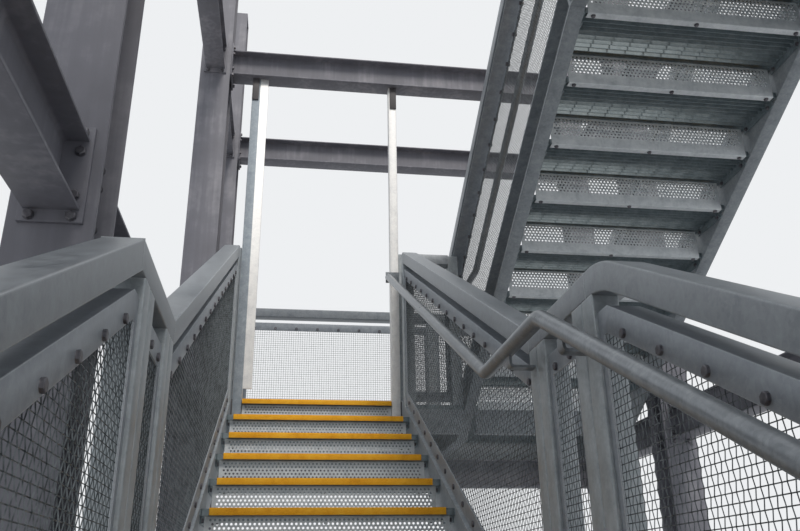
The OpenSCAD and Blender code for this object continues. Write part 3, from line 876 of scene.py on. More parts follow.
@dataclass(frozen=True)
class BentRails(SoftEdges):
    """Rails whose corner at the top of the right first flight is a round bend, not a mitre."""

    radius: float = 70.0
    bend_steps: int = 8
    bend_reach: float = 84.0
    mitre_reach: float = 25.0
    upright: float = 0.9
    slack: float = 1.0

    def near(self, at: Vector, reach: float) -> bool:
        """Tests whether a point is on that rail and close to its corner.

        Args:
            at: the point, in metres.
            reach: the longest distance along the rail, in millimetres.

        Returns:
            Whether it is.
        """
        corner = Run.LOWER.place(np.array([[STAIR.half_width, STAIR.flight, 0.0]]))[0]
        across = at.x / MM - corner[0]
        along = at.y / MM - corner[1]
        return abs(along) < reach and -self.slack < across < STAIR.rail_width + self.slack

    def bend(self, work: bmesh.types.BMesh) -> None:
        """Opens the mitre between the two tubes, and rounds the two edges across the rail there.

        Args:
            work: the mesh of both tubes.
        """
        mitre = [f for f in work.faces
                 if self.near(f.calc_center_median(), self.mitre_reach) and abs(f.normal.y) > self.upright]
        bmesh.ops.delete(work, geom=mitre, context="FACES_ONLY")
        corners = [v for v in work.verts if self.near(v.co, self.mitre_reach)]
        bmesh.ops.remove_doubles(work, verts=corners, dist=WELD)
        self.merge_flat(work)
        edges = [e for e in work.edges
                 if self.near(self.middle(e), self.mitre_reach)
                 and self.across(e) > 0.5 * STAIR.rail_width * MM]
        LOG.info("%s: %d edges bent", self.node, len(edges))
        bmesh.ops.bevel(work, geom=edges, offset=self.radius * MM, offset_type="OFFSET",
                        segments=self.bend_steps, profile=0.5, affect="EDGES", clamp_overlap=True)

    def along_bend(self, edge: bmesh.types.BMEdge) -> bool:
        """Whether an edge runs along the bend, on either side of the rail."""
        return self.near(self.middle(edge), self.bend_reach) and self.across(edge) < 0.1 * MM

    @staticmethod
    def across(edge: bmesh.types.BMEdge) -> float:
        """How far an edge goes across the rail."""
        return abs(edge.verts[0].co.x - edge.verts[1].co.x)

    @staticmethod
    def middle(edge: bmesh.types.BMEdge) -> Vector:
        """Middle of an edge."""
        return (edge.verts[0].co + edge.verts[1].co) / 2


@dataclass(frozen=True)
class Hangers(SoftEdges):
    """The two hangers: the left one is a tube in painted shade, with a strip beside it in the painted sunlit
    zinc.
    """

    tube_edge: float = 494.0

    @property
    def limit(self) -> float:
        """Place across the tower, in metres, where the left tube ends and its strip starts."""
        return Run.LOWER.place(np.array([[-self.tube_edge, 0.0, 0.0]]))[0, 0] * MM

    def cut(self, work: bmesh.types.BMesh) -> None:
        """Cuts the front that the left tube and its strip share."""
        bmesh.ops.bisect_plane(work, geom=work.verts[:] + work.edges[:] + work.faces[:], dist=1e-6,
                               plane_co=(self.limit, 0.0, 0.0), plane_no=(1.0, 0.0, 0.0))

    def second_finish(self, piece: bpy.types.Object) -> None:
        """Gives the left tube the darker copy of the zinc, as painted shade.

        Args:
            piece: the visible piece.
        """
        piece.data.materials.append(SHADED_HANGER_ZINC.material())
        for face in piece.data.polygons:
            if face.center.x < self.limit:
                face.material_index = 1


@dataclass
class SteelWork:
    """Every piece of steel whose CAD shape is right but for its edges."""

    tube_corner: float = 5.0
    tube_steps: int = 4
    tube_shortest: float = 95.0
    flat_edge: float = 1.2
    channel_edge: float = 1.8
    hanger_edge: float = 3.0
    rolled_root: float = 11.0
    column_root: float = 16.0
    seam: float = 2.5
    bead: float = 0.5
    seam_past_bend: float = 105.0

    def pieces(self) -> list[SoftEdges]:
        """Lists the nodes and how each is rounded.

        Returns:
            One entry for each visible piece.
        """
        tube = {"edge": self.tube_corner, "steps": self.tube_steps, "shortest": self.tube_shortest}
        made: list[SoftEdges] = [BentRails("top_rails_a", TUBE_ZINC, "guard_steel", clamped=False,
                                           also=("top_rails_level",), **tube)]
        made += [SoftEdges(n, finish, "guard_steel", **tube)
                 for n, finish in (("top_rails_b", TUBE_ZINC), ("posts_a", LIT_POST_ZINC),
                                   ("posts_b", LIT_POST_ZINC), ("posts_landings", LIT_POST_ZINC))]
        made += [SoftEdges(f"mesh_frames_{n}", FLAT_ZINC, "mesh_frame_steel", edge=self.flat_edge)
                 for n in ("a", "b", "landings")]
        made += [SoftEdges(n, CHANNEL_ZINC, "channel_steel", edge=self.channel_edge, root=self.rolled_root)
                 for n in ("stringers_1", "stringers_2", "stringers_3", "stringers_4",
                           "half_landing_channels", "landing_side_channels", "landing_trimmers",
                           "landing_joists")]
        made += [SoftEdges(f"nosings_{n}", NOSING_RESIN, "nosing_yellow", edge=self.flat_edge)
                 for n in ("a", "b")]
        made.append(Hangers("hangers", LIT_HANGER_ZINC, "hanger_steel", edge=self.hanger_edge, steps=3,
                            shortest=self.tube_shortest))
        made.append(SoftEdges("hanger_brackets", BRACKET_PAINT, "painted_steel"))
        made += [SoftEdges(n, FRAME_PAINT, "painted_steel", root=root)
                 for n, root in (("landing_seats", 0.0), ("base_plates", 0.0),
                                 ("columns", self.column_root), ("cross_beams", self.rolled_root),
                                 ("side_beams", self.rolled_root))]
        return made

    def seams(self) -> None:
        """Builds the thin weld beads round the sloped rails at their mitred corners."""
        dress(in_both_runs(self.run_seams).piece("rail_weld_seams", Smooth.BARS), FLAT_ZINC, "guard_steel")

    def run_seams(self, sketch: Sketch, run: Run) -> None:
        """Adds one run's weld beads, past the bend where a rail has one.

        Args:
            sketch: where they are drawn.
            run: the run.
        """
        for side in Side:
            near = side.value * (STAIR.half_width - self.bead)
            far = side.value * (STAIR.half_width + STAIR.rail_width + self.bead)
            for u in (STAIR.flight, STAIR.restart):
                if (run, side, u) == (Run.LOWER, Side.RIGHT, STAIR.flight):
                    u += self.seam_past_bend
                top = STAIR.line(u) + STAIR.guard
                sketch.boxes([min(near, far), u - self.seam / 2, top - STAIR.rail_depth - self.bead],
                             [max(near, far), u + self.seam / 2, top + self.bead])

    def build(self, nodes: dict[str, bpy.types.Object]) -> None:
        """Builds all the steel work.

        Args:
            nodes: the CAD nodes.
        """
        for piece in self.pieces():
            piece.build(nodes)
        self.seams()


# Gratings of the treads and landings

@dataclass
class Gratings:
    """Bar gratings: deep bearing bars one way and thin rods the other way."""

    bar_pitch: float = 30.0
    bar: float = 3.0
    rod_pitch: float = 95.0
    rod: float = 5.0
    end_depth: float = 60.0
    rod_sink: float = 0.5
    band_sink: float = 0.3
    hung_inset: float = 70.0

    def panel(self, sketch: Sketch, x: tuple[float, float], u: tuple[float, float], top: float,
              bars_across: bool) -> None:
        """Adds one panel.

        Args:
            sketch: where it is drawn.
            x: its two sides.
            u: its front and back.
            top: height of its top.
            bars_across: whether the deep bars run across the stairs.
        """
        low = top - STAIR.grating
        along, over = (u, x) if bars_across else (x, u)
        count = max(2, round((along[1] - along[0] - self.bar) / self.bar_pitch) + 1)
        bars = np.linspace(along[0], along[1] - self.bar, count)
        rods = np.arange(over[0] + self.rod_pitch / 2, over[1] - self.rod, self.rod_pitch)
        rods += (over[1] - self.rod_pitch / 2 - rods[-1]) / 2
        self.strips(sketch, bars, self.bar, over, (low, top), bars_across)
        rod_top = top - self.rod_sink
        self.strips(sketch, rods, self.rod, along, (rod_top - self.rod, rod_top), not bars_across)
        self.strips(sketch, np.array([over[0], over[1] - self.bar]), self.bar, along,
                    (low, top - self.band_sink), not bars_across)

    @staticmethod
    def strips(sketch: Sketch, places: np.ndarray, width: float, reach: tuple[float, float],
               z: tuple[float, float], across: bool) -> None:
        """Adds parallel bars.

        Args:
            sketch: where they are drawn.
            places: near faces of the bars.
            width: their thickness.
            reach: their two ends.
            z: their bottom and top.
            across: whether they run across the stairs.
        """
        n = len(places)
        near, far = np.full(n, reach[0]), np.full(n, reach[1])
        low_z, high_z = np.full(n, z[0]), np.full(n, z[1])
        if across:
            sketch.boxes(np.stack([near, places, low_z], 1), np.stack([far, places + width, high_z], 1))
        else:
            sketch.boxes(np.stack([places, near, low_z], 1), np.stack([places + width, far, high_z], 1))

    def tread(self, sketch: Sketch, number: int) -> None:
        """Adds one tread with the plates welded on its ends.

        Args:
            sketch: where it is drawn.
            number: the step's number in its run.
        """
        u, z = STAIR.nosing(number)
        top = z - STAIR.nosing_thickness
        back = u + STAIR.going + STAIR.riser_set
        edge = STAIR.half_width
        self.panel(sketch, (STAIR.tread_plate - edge, edge - STAIR.tread_plate), (u, back), top, True)
        for x in (-edge, edge - STAIR.tread_plate):
            sketch.boxes([x, u, top - STAIR.grating], [x + STAIR.tread_plate, back, top])
            sketch.boxes([x, u + STAIR.riser_set + STAIR.riser, top - self.end_depth],
                         [x + STAIR.tread_plate, back - STAIR.riser_lip, top - STAIR.grating])

    def flight(self, name: str, run: Run, first: int) -> None:
        """Builds the eight treads of a flight.

        Args:
            name: the CAD node.
            run: the run.
            first: number of the flight's first step.
        """
        sketch = Sketch()
        for number in range(first, first + STAIR.risers - 1):
            self.tread(sketch, number)
        dress(sketch.in_run(run).piece(name + "_gratings", Smooth.BARS), GRATING_ZINC, "tread_grating", name)

    def half_landing(self, sketch: Sketch, _: Run) -> None:
        """Adds a half landing, which is the same in both runs.

        Args:
            sketch: where it is drawn.
            _: the run, which makes no difference.
        """
        edge, back = STAIR.half_width, STAIR.second + STAIR.riser_set
        self.panel(sketch, (-edge, edge), (STAIR.flight, back), STAIR.turn_level - STAIR.nosing_thickness,
                   True)

    def decks(self) -> None:
        """Builds the gratings of all the landings."""
        dress(in_both_runs(self.half_landing).piece("half_landing_gratings", Smooth.BARS), GRATING_ZINC,
              "deck_grating", "half_landing_decks")
        edge, trimmer, rear = STAIR.half_width, STAIR.trimmer, STAIR.rear
        top = STAIR.storey - STAIR.nosing_thickness
        hung = edge - self.hung_inset
        well = STAIR.pitch - STAIR.toe
        main = Sketch()
        self.panel(main, (-hung, hung), (STAIR.end, trimmer), top, True)
        self.panel(main, (-edge, well), (trimmer, rear), top, False)
        self.panel(main, (well, STAIR.pitch - edge), (STAIR.return_u + STAIR.going, rear), top, False)
        self.panel(main, (STAIR.pitch - edge, STAIR.pitch + edge),
                   (STAIR.return_u - STAIR.riser_set, rear), top, False)
        dress(main.in_run(Run.LOWER).piece("main_landing_grating", Smooth.BARS), GRATING_ZINC,
              "deck_grating", "main_landing_deck")
        upper = Sketch()
        self.panel(upper, (-edge, edge), (STAIR.end, trimmer), top, True)
        self.panel(upper, (-edge, STAIR.pitch + edge), (trimmer, rear), top, False)
        dress(upper.in_run(Run.UPPER).piece("top_landing_grating", Smooth.BARS), GRATING_ZINC,
              "deck_grating", "top_landing_deck")

    def build(self) -> None:
        """Builds the treads and the landings."""
        self.flight("treads_1", Run.LOWER, 1)
        self.flight("treads_2", Run.LOWER, STAIR.risers + 1)
        self.flight("treads_3", Run.UPPER, 1)
        self.flight("treads_4", Run.UPPER, STAIR.risers + 1)
        self.decks()


# Perforated risers

@dataclass
class PerforatedRisers:
    """Folded riser plates with six staggered rows of round holes."""

    hole: float = 12.0
    pitch: float = 20.0
    rows: int = 6
    first_row: float = 49.0
    half: float = 540.0
    hung_half: float = 490.0
    foot_plate: float = 12.0
    margin: float = 10.0
    fold: float = 5.0
    fold_steps: int = 4
    sheets: dict[float, Sketch] = field(default_factory=dict)

    @property
    def row_pitch(self) -> float:
        """Distance between the middles of two rows of holes."""
        return self.pitch * math.sqrt(0.75)

    @property
    def depth(self) -> float:
        """Height of the perforated part of a riser."""
        first = self.first_row - STAIR.nosing_thickness - STAIR.grating
        return first + (self.rows - 1) * self.row_pitch + self.pitch / 4 + self.margin

    def sheet(self, half: float) -> Sketch:
        """One flat perforated sheet, its top edge at height 0 and its face at u 0.

        Args:
            half: half its width.

        Returns:
            The sheet, made once for each width.
        """
        if half not in self.sheets:
            count = int((half - self.margin) * 2 / self.pitch - 0.5)
            corners, faces = self.face(half, count)
            self.sheets[half] = self.thickened(corners, faces)
        return self.sheets[half]

    def face(self, half: float, count: int) -> tuple[np.ndarray, list[np.ndarray]]:
        """Front of the sheet: six-sided holes, and the faces between their sides.

        Args:
            half: half the sheet's width.
            count: holes in each row.

        Returns:
            Places across and up of all corners, and arrays of face corners.
        """
        angle = math.pi / 6 + np.arange(6) * math.pi / 3
        ring = self.hole / 2 * np.stack([np.cos(angle), np.sin(angle)], 1)
        row, column = np.meshgrid(np.arange(self.rows), np.arange(count), indexing="ij")
        x = (column + 0.5 * (row % 2) - (count - 0.5) / 2) * self.pitch
        z = STAIR.nosing_thickness + STAIR.grating - self.first_row - row * self.row_pitch
        corners = (np.stack([x, z], -1)[:, :, None] + ring).reshape(-1, 2)
        at = np.arange(len(corners)).reshape(self.rows, count, 6)
        quads = [self.joined(at[:, :-1], (5, 0), at[:, 1:], (3, 2))]
        triangles = []
        for upper, lower, odd in zip(at, at[1:], [0, 1] * self.rows):
            quads.append(self.joined(upper[:count - odd], (4, 5), lower[odd:], (2, 1)))
            quads.append(self.joined(upper[1 - odd:], (3, 4), lower[:count - 1 + odd], (1, 0)))
            below = lower[odd:odd + count - 1]
            triangles.append(np.stack([upper[:-1, 5], below[:, 1], upper[1:, 3]], 1))
            triangles.append(np.stack([upper[1 - odd:count - odd, 4], lower[:-1, 0], lower[1:, 2]], 1))
        faces = [np.concatenate(quads), np.concatenate(triangles)]
        outer = np.array([[-half, 0.0], [-half, -self.depth], [half, -self.depth], [half, 0.0]])
        return np.concatenate([corners, outer]), faces + self.border(at, len(corners))

    @staticmethod
    def joined(first: np.ndarray, near: tuple[int, int], second: np.ndarray,
               far: tuple[int, int]) -> np.ndarray:
        """Quads between a side of each hole and the facing side of its neighbour."""
        return np.stack([first[..., near[0]], second[..., far[0]], second[..., far[1]],
                         first[..., near[1]]], -1).reshape(-1, 4)

    def border(self, at: np.ndarray, first: int) -> list[np.ndarray]:
        """Faces from the outermost holes to the sheet's edges, for an even number of rows.

        Args:
            at: numbers of the holes' corners, by row, column and corner.
            first: number of the sheet's top left corner.

        Returns:
            Four faces, each in an array of its own.
        """
        top_left, low_left, low_right, top_right = range(first, first + 4)
        top = at[0][:, [2, 1, 0]].reshape(-1)
        low = at[-1][:, [3, 4, 5]].reshape(-1)
        left: list[int] = []
        right: list[int] = []
        for row, holes in enumerate(at):
            odd = row % 2 == 1
            left += list(holes[0][[2, 3]] if odd else holes[0][[1, 2, 3, 4]])
            right += list(holes[-1][[1, 0, 5, 4]] if odd else holes[-1][[0, 5]])
        left, right = left[1:], right[:-1]
        return [np.array([[top_left, *top, top_right]]), np.array([[low_left, low_right, *low[::-1]]]),
                np.array([[top_left, low_left, *left[::-1]]]), np.array([[*right, low_right, top_right]])]

    def thickened(self, corners: np.ndarray, faces: list[np.ndarray]) -> Sketch:
        """A sheet with a front, a back and walls round every hole and edge.

        Args:
            corners: places across and up.
            faces: its front.

        Returns:
            The whole sheet.
        """
        n = len(corners)
        front = np.stack([corners[:, 0], np.zeros(n), corners[:, 1]], 1)
        edges = np.concatenate([np.stack([f, np.roll(f, -1, axis=1)], -1).reshape(-1, 2) for f in faces])
        code = np.sort(edges, 1) @ np.array([n, 1])
        _, first, count = np.unique(code, return_index=True, return_counts=True)
        rim = edges[first[count == 1]]
        walls = np.stack([rim[:, 1], rim[:, 0], rim[:, 0] + n, rim[:, 1] + n], 1)
        made = Sketch()
        made.add(np.concatenate([front, front + STAIR.riser * U_AXIS]),
                 [*faces, *(f[:, ::-1] + n for f in faces), walls])
        return made

    def riser(self, sketch: Sketch, number: int, half: float, bottom: float | None) -> None:
        """Adds one riser plate.

        Args:
            sketch: where it is drawn.
            number: the step's number.
            half: half the plate's width.
            bottom: height of a plain lower edge, or None where a lip is folded under the tread below.
        """
        u, z = STAIR.nosing(number)
        u += STAIR.riser_set
        top = z - STAIR.nosing_thickness - STAIR.grating
        self.sheet(half).copy_to(sketch, np.array([0.0, u, top]))
        low = top - self.depth
        if bottom is None:
            self.folded_foot(sketch, half, (u, low), top - STAIR.rise - STAIR.riser)
        elif bottom < low:
            sketch.boxes([-half, u, bottom], [half, u + STAIR.riser, low])

    def folded_foot(self, sketch: Sketch, half: float, start: tuple[float, float], under: float) -> None:
        """Adds a riser's plain foot, folded forward under the tread below.

        Args:
            sketch: where it is drawn.
            half: half the riser's width.
            start: place and height where the perforated sheet ends.
            under: height of the fold's underside.
        """
        u, low = start
        bend_z = under + self.fold
        outer = [(STAIR.riser, low)]
        inner = [(0.0, low)]
        for i in range(self.fold_steps + 1):
            angle = i / self.fold_steps * math.pi / 2
            sin, cos = math.sin(angle), math.cos(angle)
            for line, radius in ((outer, self.fold), (inner, self.fold - STAIR.riser)):
                line.append((STAIR.riser - self.fold + radius * cos, bend_z - radius * sin))
        outer.append((STAIR.riser - STAIR.riser_lip, under))
        inner.append((STAIR.riser - STAIR.riser_lip, under + STAIR.riser))
        outline = np.array(outer + inner[::-1])
        near = np.stack([np.full(len(outline), -half), outline[:, 0] + u, outline[:, 1]], 1)
        sketch.add(np.concatenate([near, near + 2 * half * X_AXIS]), ring_faces(2, len(outline)))

    def flight(self, name: str, run: Run, bottom: float | None, last_half: float) -> None:
        """Builds the nine risers of a flight.

        Args:
            name: the CAD node.
            run: the run.
            bottom: lower edge of the run's first riser, or None for an upper flight.
            last_half: half the width of the flight's last riser.
        """
        sketch = Sketch()
        first = 1 if bottom is not None else STAIR.risers + 1
        for number in range(first, first + STAIR.risers):
            half = last_half if number == first + STAIR.risers - 1 else self.half
            self.riser(sketch, number, half, bottom if number == first else None)
        dress(sketch.in_run(run).piece(name + "_perforated", Smooth.TUBES), SHEET_ZINC, "riser_plate", name)

    def build(self) -> None:
        """Builds the risers of all four flights."""
        self.flight("risers_1", Run.LOWER, self.foot_plate, self.half)
        self.flight("risers_2", Run.LOWER, None, self.hung_half)
        self.flight("risers_3", Run.UPPER, -STAIR.nosing_thickness - STAIR.grating, self.half)
        self.flight("risers_4", Run.UPPER, None, self.half)


# Bays of the guards, and their woven mesh

@dataclass(frozen=True)
class Bay:
    """One panel of a guard: the nosing line below it, and its place on plan."""

    line: tuple[tuple[float, float], ...]
    origin: tuple[float, float] = (0.0, 0.0)
    turn_deg: float = 0.0
    side: float = 0.0

    def height(self, u: float | np.ndarray) -> np.ndarray:
        """Height of the nosing line below the panel."""
        return np.interp(u, [p[0] for p in self.line], [p[1] for p in self.line])

    def place(self, points: np.ndarray) -> np.ndarray:
        """Moves points of the panel into its run's frame.

        Args:
            points: rows of distance outwards, distance along the panel, and height.

        Returns:
            Rows of x, u and z.
        """
        if self.side:
            return points * np.array([self.side, 1.0, 1.0]) + np.array([self.side * STAIR.half_width, 0, 0])
        turn = math.radians(self.turn_deg)
        x = points[:, 0] * math.cos(turn) - points[:, 1] * math.sin(turn)
        u = points[:, 0] * math.sin(turn) + points[:, 1] * math.cos(turn)
        return np.stack([x + self.origin[0], u + self.origin[1], points[:, 2]], 1)

    def outward(self, away: float) -> np.ndarray:
        """Unit vector from the stairs through the panel, or back where away is negative."""
        ends = self.place(np.array([[0.0, 0.0, 0.0], [away, 0.0, 0.0]]))
        return (ends[1] - ends[0]) / np.linalg.norm(ends[1] - ends[0])


class Bays:
    """Where all the panels are."""

    @staticmethod
    def on_line(u: float) -> tuple[float, float]:
        """Point of the nosing line."""
        return u, STAIR.line(u)

    @classmethod
    def run_bays(cls, run: Run, side: Side) -> list[Bay]:
        """Lists the three panels along one side of a run.

        Args:
            run: the run.
            side: the side.

        Returns:
            The panels, from the run's foot up.
        """
        step = STAIR.post + STAIR.post_gap
        first = (cls.on_line(run.foot_post + STAIR.post), cls.on_line(STAIR.flight),
                 cls.on_line(STAIR.pair_low))
        if run is Run.UPPER:
            first = (first[0], (-STAIR.going, 0.0), *first[1:])
        middle = (cls.on_line(STAIR.pair_low + step + STAIR.post), cls.on_line(STAIR.pair_high - step))
        last = (cls.on_line(STAIR.restart), cls.on_line(STAIR.end_post))
        return [Bay(line, side=float(side.value)) for line in (first, middle, last)]

    @staticmethod
    def landing_bays(run: Run) -> list[Bay]:
        """Lists the panels round the full landing at the head of a run.

        Args:
            run: the run.

        Returns:
            The panels, those at the rear first.
        """
        edge, post, rear = STAIR.half_width, STAIR.post, STAIR.rear
        jamb = STAIR.pitch - edge - post
        front = STAIR.trimmer + post
        far = [((jamb, rear), 90.0, jamb + edge), ((STAIR.pitch + edge, rear), 90.0, 2 * edge)]
        if run is Run.LOWER:
            start = STAIR.return_u - Run.UPPER.foot_post
            rest = [((STAIR.pitch + edge, start), 0.0, rear - start),
                    ((edge + post, front), -90.0, STAIR.pitch - 2 * edge - 3 * post)]
        else:
            bay = STAIR.pitch / 2 - post
            rest = [((-edge, rear), 180.0, rear - front), ((edge + post, front), -90.0, bay),
                    ((STAIR.pitch + edge - bay, front), -90.0, bay)]
        level = STAIR.storey
        return [Bay(((0.0, level), (length, level)), origin, turn) for origin, turn, length in far + rest]


@dataclass
class WovenMesh:
    """Square mesh: upright wires crimped round straight level ones."""

    pitch: float = 19.0
    wire: float = 2.7
    crimp: float = 1.5
    plane: float = 18.5
    low_edge: float = 55.0
    high_edge: float = 918.0
    tuck: float = 1.0
    nudge: float = 1e-6
    wire_sides: int = 3

    @property
    def section(self) -> np.ndarray:
        """Section of a wire."""
        return circle(self.wire / 2, self.wire_sides)

    def panel(self, sketch: Sketch, bay: Bay) -> None:
        """Adds one panel's wires.

        Args:
            sketch: where they are drawn.
            bay: the panel.
        """
        own = Sketch()
        self.uprights(own, bay)
        self.levels(own, bay)
        sketch.add(bay.place(np.concatenate(own.points)), own.faces, flip=bay.side < 0)

    def uprights(self, own: Sketch, bay: Bay) -> None:
        """Adds a panel's crimped wires, whose ends are tucked behind the frame's flats.

        Args:
            own: where they are drawn, in the panel's own frame.
            bay: the panel.
        """
        start, stop = bay.line[0][0], bay.line[-1][0]
        count = int((stop - start) / self.pitch)
        start += (stop - start - count * self.pitch) / 2
        for i in range(count + 1):
            u = start + i * self.pitch
            low, high = bay.height(u) + self.low_edge, bay.height(u) + self.high_edge
            rows = np.arange(math.ceil(low / self.pitch), math.floor(high / self.pitch) + 1)
            swing = np.where((rows + i) % 2 == 0, self.crimp, -self.crimp)
            path = np.stack([self.plane + swing, np.full(len(rows), u), rows * self.pitch], 1)
            foot = [path[0, 0], u, low - self.tuck]
            head = [path[-1, 0], u, high + self.tuck]
            own.sweep(np.array([foot, *path, head]), self.section, U_AXIS)

    def levels(self, own: Sketch, bay: Bay) -> None:
        """Adds a panel's straight wires, each as far as the frame's lower and upper flats let it go.

        Args:
            own: where they are drawn, in the panel's own frame.
            bay: the panel.
        """
        line_u = np.array([p[0] for p in bay.line])
        # A level stretch is nudged up a hair, so that a height gives one place on it.
        line_z = np.array([p[1] for p in bay.line]) + np.arange(len(bay.line)) * self.nudge
        first = math.ceil((line_z[0] + self.low_edge) / self.pitch)
        last = math.floor((line_z[-1] + self.high_edge) / self.pitch)
        for z in np.arange(first, last + 1) * self.pitch:
            near = np.interp(z - self.high_edge, line_z, line_u)
            far = np.interp(z - self.low_edge, line_z, line_u)
            if far - near >= self.wire:
                own.sweep(np.array([[self.plane, near, z], [self.plane, far, z]]), self.section, X_AXIS)

    def build(self) -> None:
        """Builds the mesh of both runs and of the landings."""
        for run in Run:
            for side in Side:
                sketch = Sketch()
                for bay in Bays.run_bays(run, side):
                    self.panel(sketch, bay)
                name = f"mesh_{run.letter}_{self.cad_side(run, side)}"
                dress(sketch.in_run(run).piece(name + "_wires", Smooth.WIRES), MESH_WIRE, "woven_mesh", name)
        dress(in_both_runs(self.landing).piece("mesh_landings_wires", Smooth.WIRES), MESH_WIRE, "woven_mesh",
              "mesh_landings")

    def landing(self, sketch: Sketch, run: Run) -> None:
        """Adds the mesh round the landing at the head of a run."""
        for bay in Bays.landing_bays(run):
            self.panel(sketch, bay)

    @staticmethod
    def cad_side(run: Run, side: Side) -> str:
        """The side's name in the CAD, where left and right are the tower's own."""
        return "left" if (side is Side.LEFT) != (run is Run.UPPER) else "right"


# Handrails

@dataclass
class Handrails:
    """Round tube rails on the well side, with the bent flats that carry them."""

    diameter: float = 48.3
    x: float = 480.0
    height: float = 1023.0
    shift: float = 258.0
    bend: float = 95.0
    flat: float = 8.0
    flat_width: float = 40.0
    stub: float = 30.0
    bracket_bend: float = 12.0
    sides: int = 28
    bend_steps: int = 8
    bracket_steps: int = 5
    past_end: float = 7.0
    bite: float = 4.0
    end_gap: float = 6.0

    def on_rail(self, u: float) -> np.ndarray:
        """Point of the rail's middle line."""
        return np.array([self.x, u, STAIR.line(u - self.shift) + self.height])

    def rail(self, run: Run) -> None:
        """Builds one rail.

        Args:
            run: the run.
        """
        stop = STAIR.end + self.past_end if run is Run.LOWER else STAIR.end_post + STAIR.post
        bends = [u + self.shift for u in (-STAIR.going, STAIR.flight, STAIR.restart)]
        corners = [self.on_rail(u) for u in (run.foot_post, *bends, stop)]
        sketch = Sketch()
        section = circle(self.diameter / 2, self.sides)
        sketch.sweep(bent(corners, self.bend, self.bend_steps), section, X_AXIS)
        name = "handrail_" + run.letter
        dress(sketch.in_run(run).piece(name + "_tube", Smooth.TUBES), HANDRAIL_ZINC, "handrail_steel", name)

    def bracket(self, sketch: Sketch, post_u: float) -> None:
        """Adds one bent flat from a post's face to the rail's underside.

        Args:
            sketch: where it is drawn.
            post_u: near face of the post, along the run.
        """
        u = post_u + STAIR.post / 2
        on = self.on_rail(u)
        ahead = self.on_rail(u + 1) - self.on_rail(u - 1)
        under = self.diameter / 2 * np.linalg.norm(ahead) / ahead[1]
        low = on[2] - under - self.stub - self.flat / 2
        corners = [np.array([self.x, u, on[2] - under + self.bite]), np.array([self.x, u, low]),
                   np.array([STAIR.half_width, u, low])]
        half_w, half_t = self.flat_width / 2, self.flat / 2
        section = np.array([[-half_w, -half_t], [half_w, -half_t], [half_w, half_t], [-half_w, half_t]])
        sketch.sweep(bent(corners, self.bracket_bend, self.bracket_steps), section, U_AXIS)

    def run_brackets(self, sketch: Sketch, run: Run) -> None:
        """Adds a run's brackets, and the lug at the lower rail's end.

        Args:
            sketch: where they are drawn.
            run: the run.
        """
        posts = [STAIR.pair_low, STAIR.pair_high, run.foot_post]
        if run is Run.UPPER:
            posts.append(STAIR.end_post)
        for u in posts:
            self.bracket(sketch, u)
        if run is Run.LOWER:
            end = self.on_rail(STAIR.end + self.past_end)
            sketch.boxes([self.x - self.flat_width / 2, end[1], end[2] - self.flat_width],
                         [STAIR.half_width - self.end_gap, end[1] + self.flat, end[2] + self.flat_width])

    def build(self) -> None:
        """Builds both rails and all their brackets."""
        for run in Run:
            self.rail(run)
        dress(in_both_runs(self.run_brackets).piece("handrail_bent_brackets", Smooth.SMALL), HANDRAIL_ZINC,
              "handrail_steel", "handrail_brackets")


# Bolts and nuts

@dataclass(frozen=True)
class Bolt:
    """A hexagon head or nut on its washer."""

    flats: float = 24.0
    height: float = 11.0
    washer: float = 34.0
    washer_height: float = 3.0
    washer_sides: int = 10
    sunk: float = 0.5
    head_sunk: float = 0.2
    washer_bevel: float = 0.6
    chamfer: float = 0.2
    crown: float = 0.84

    def add(self, sketch: Sketch, at: np.ndarray, axis: np.ndarray) -> None:
        """Adds heads with their washers.

        Args:
            sketch: where they are drawn.
            at: rows of places on the clamped face.
            axis: unit vector away from that face.
        """
        disc = self.washer / 2
        top = self.washer_height
        sketch.lathe([(disc, -self.sunk), (disc - self.washer_bevel, top)], self.washer_sides, at, axis)
        radius = self.flats / math.sqrt(3)
        high = top + self.height
        sketch.lathe([(radius, top - self.head_sunk), (radius, high - self.chamfer * self.height),
                      (radius * self.crown, high)], 6, at, axis)


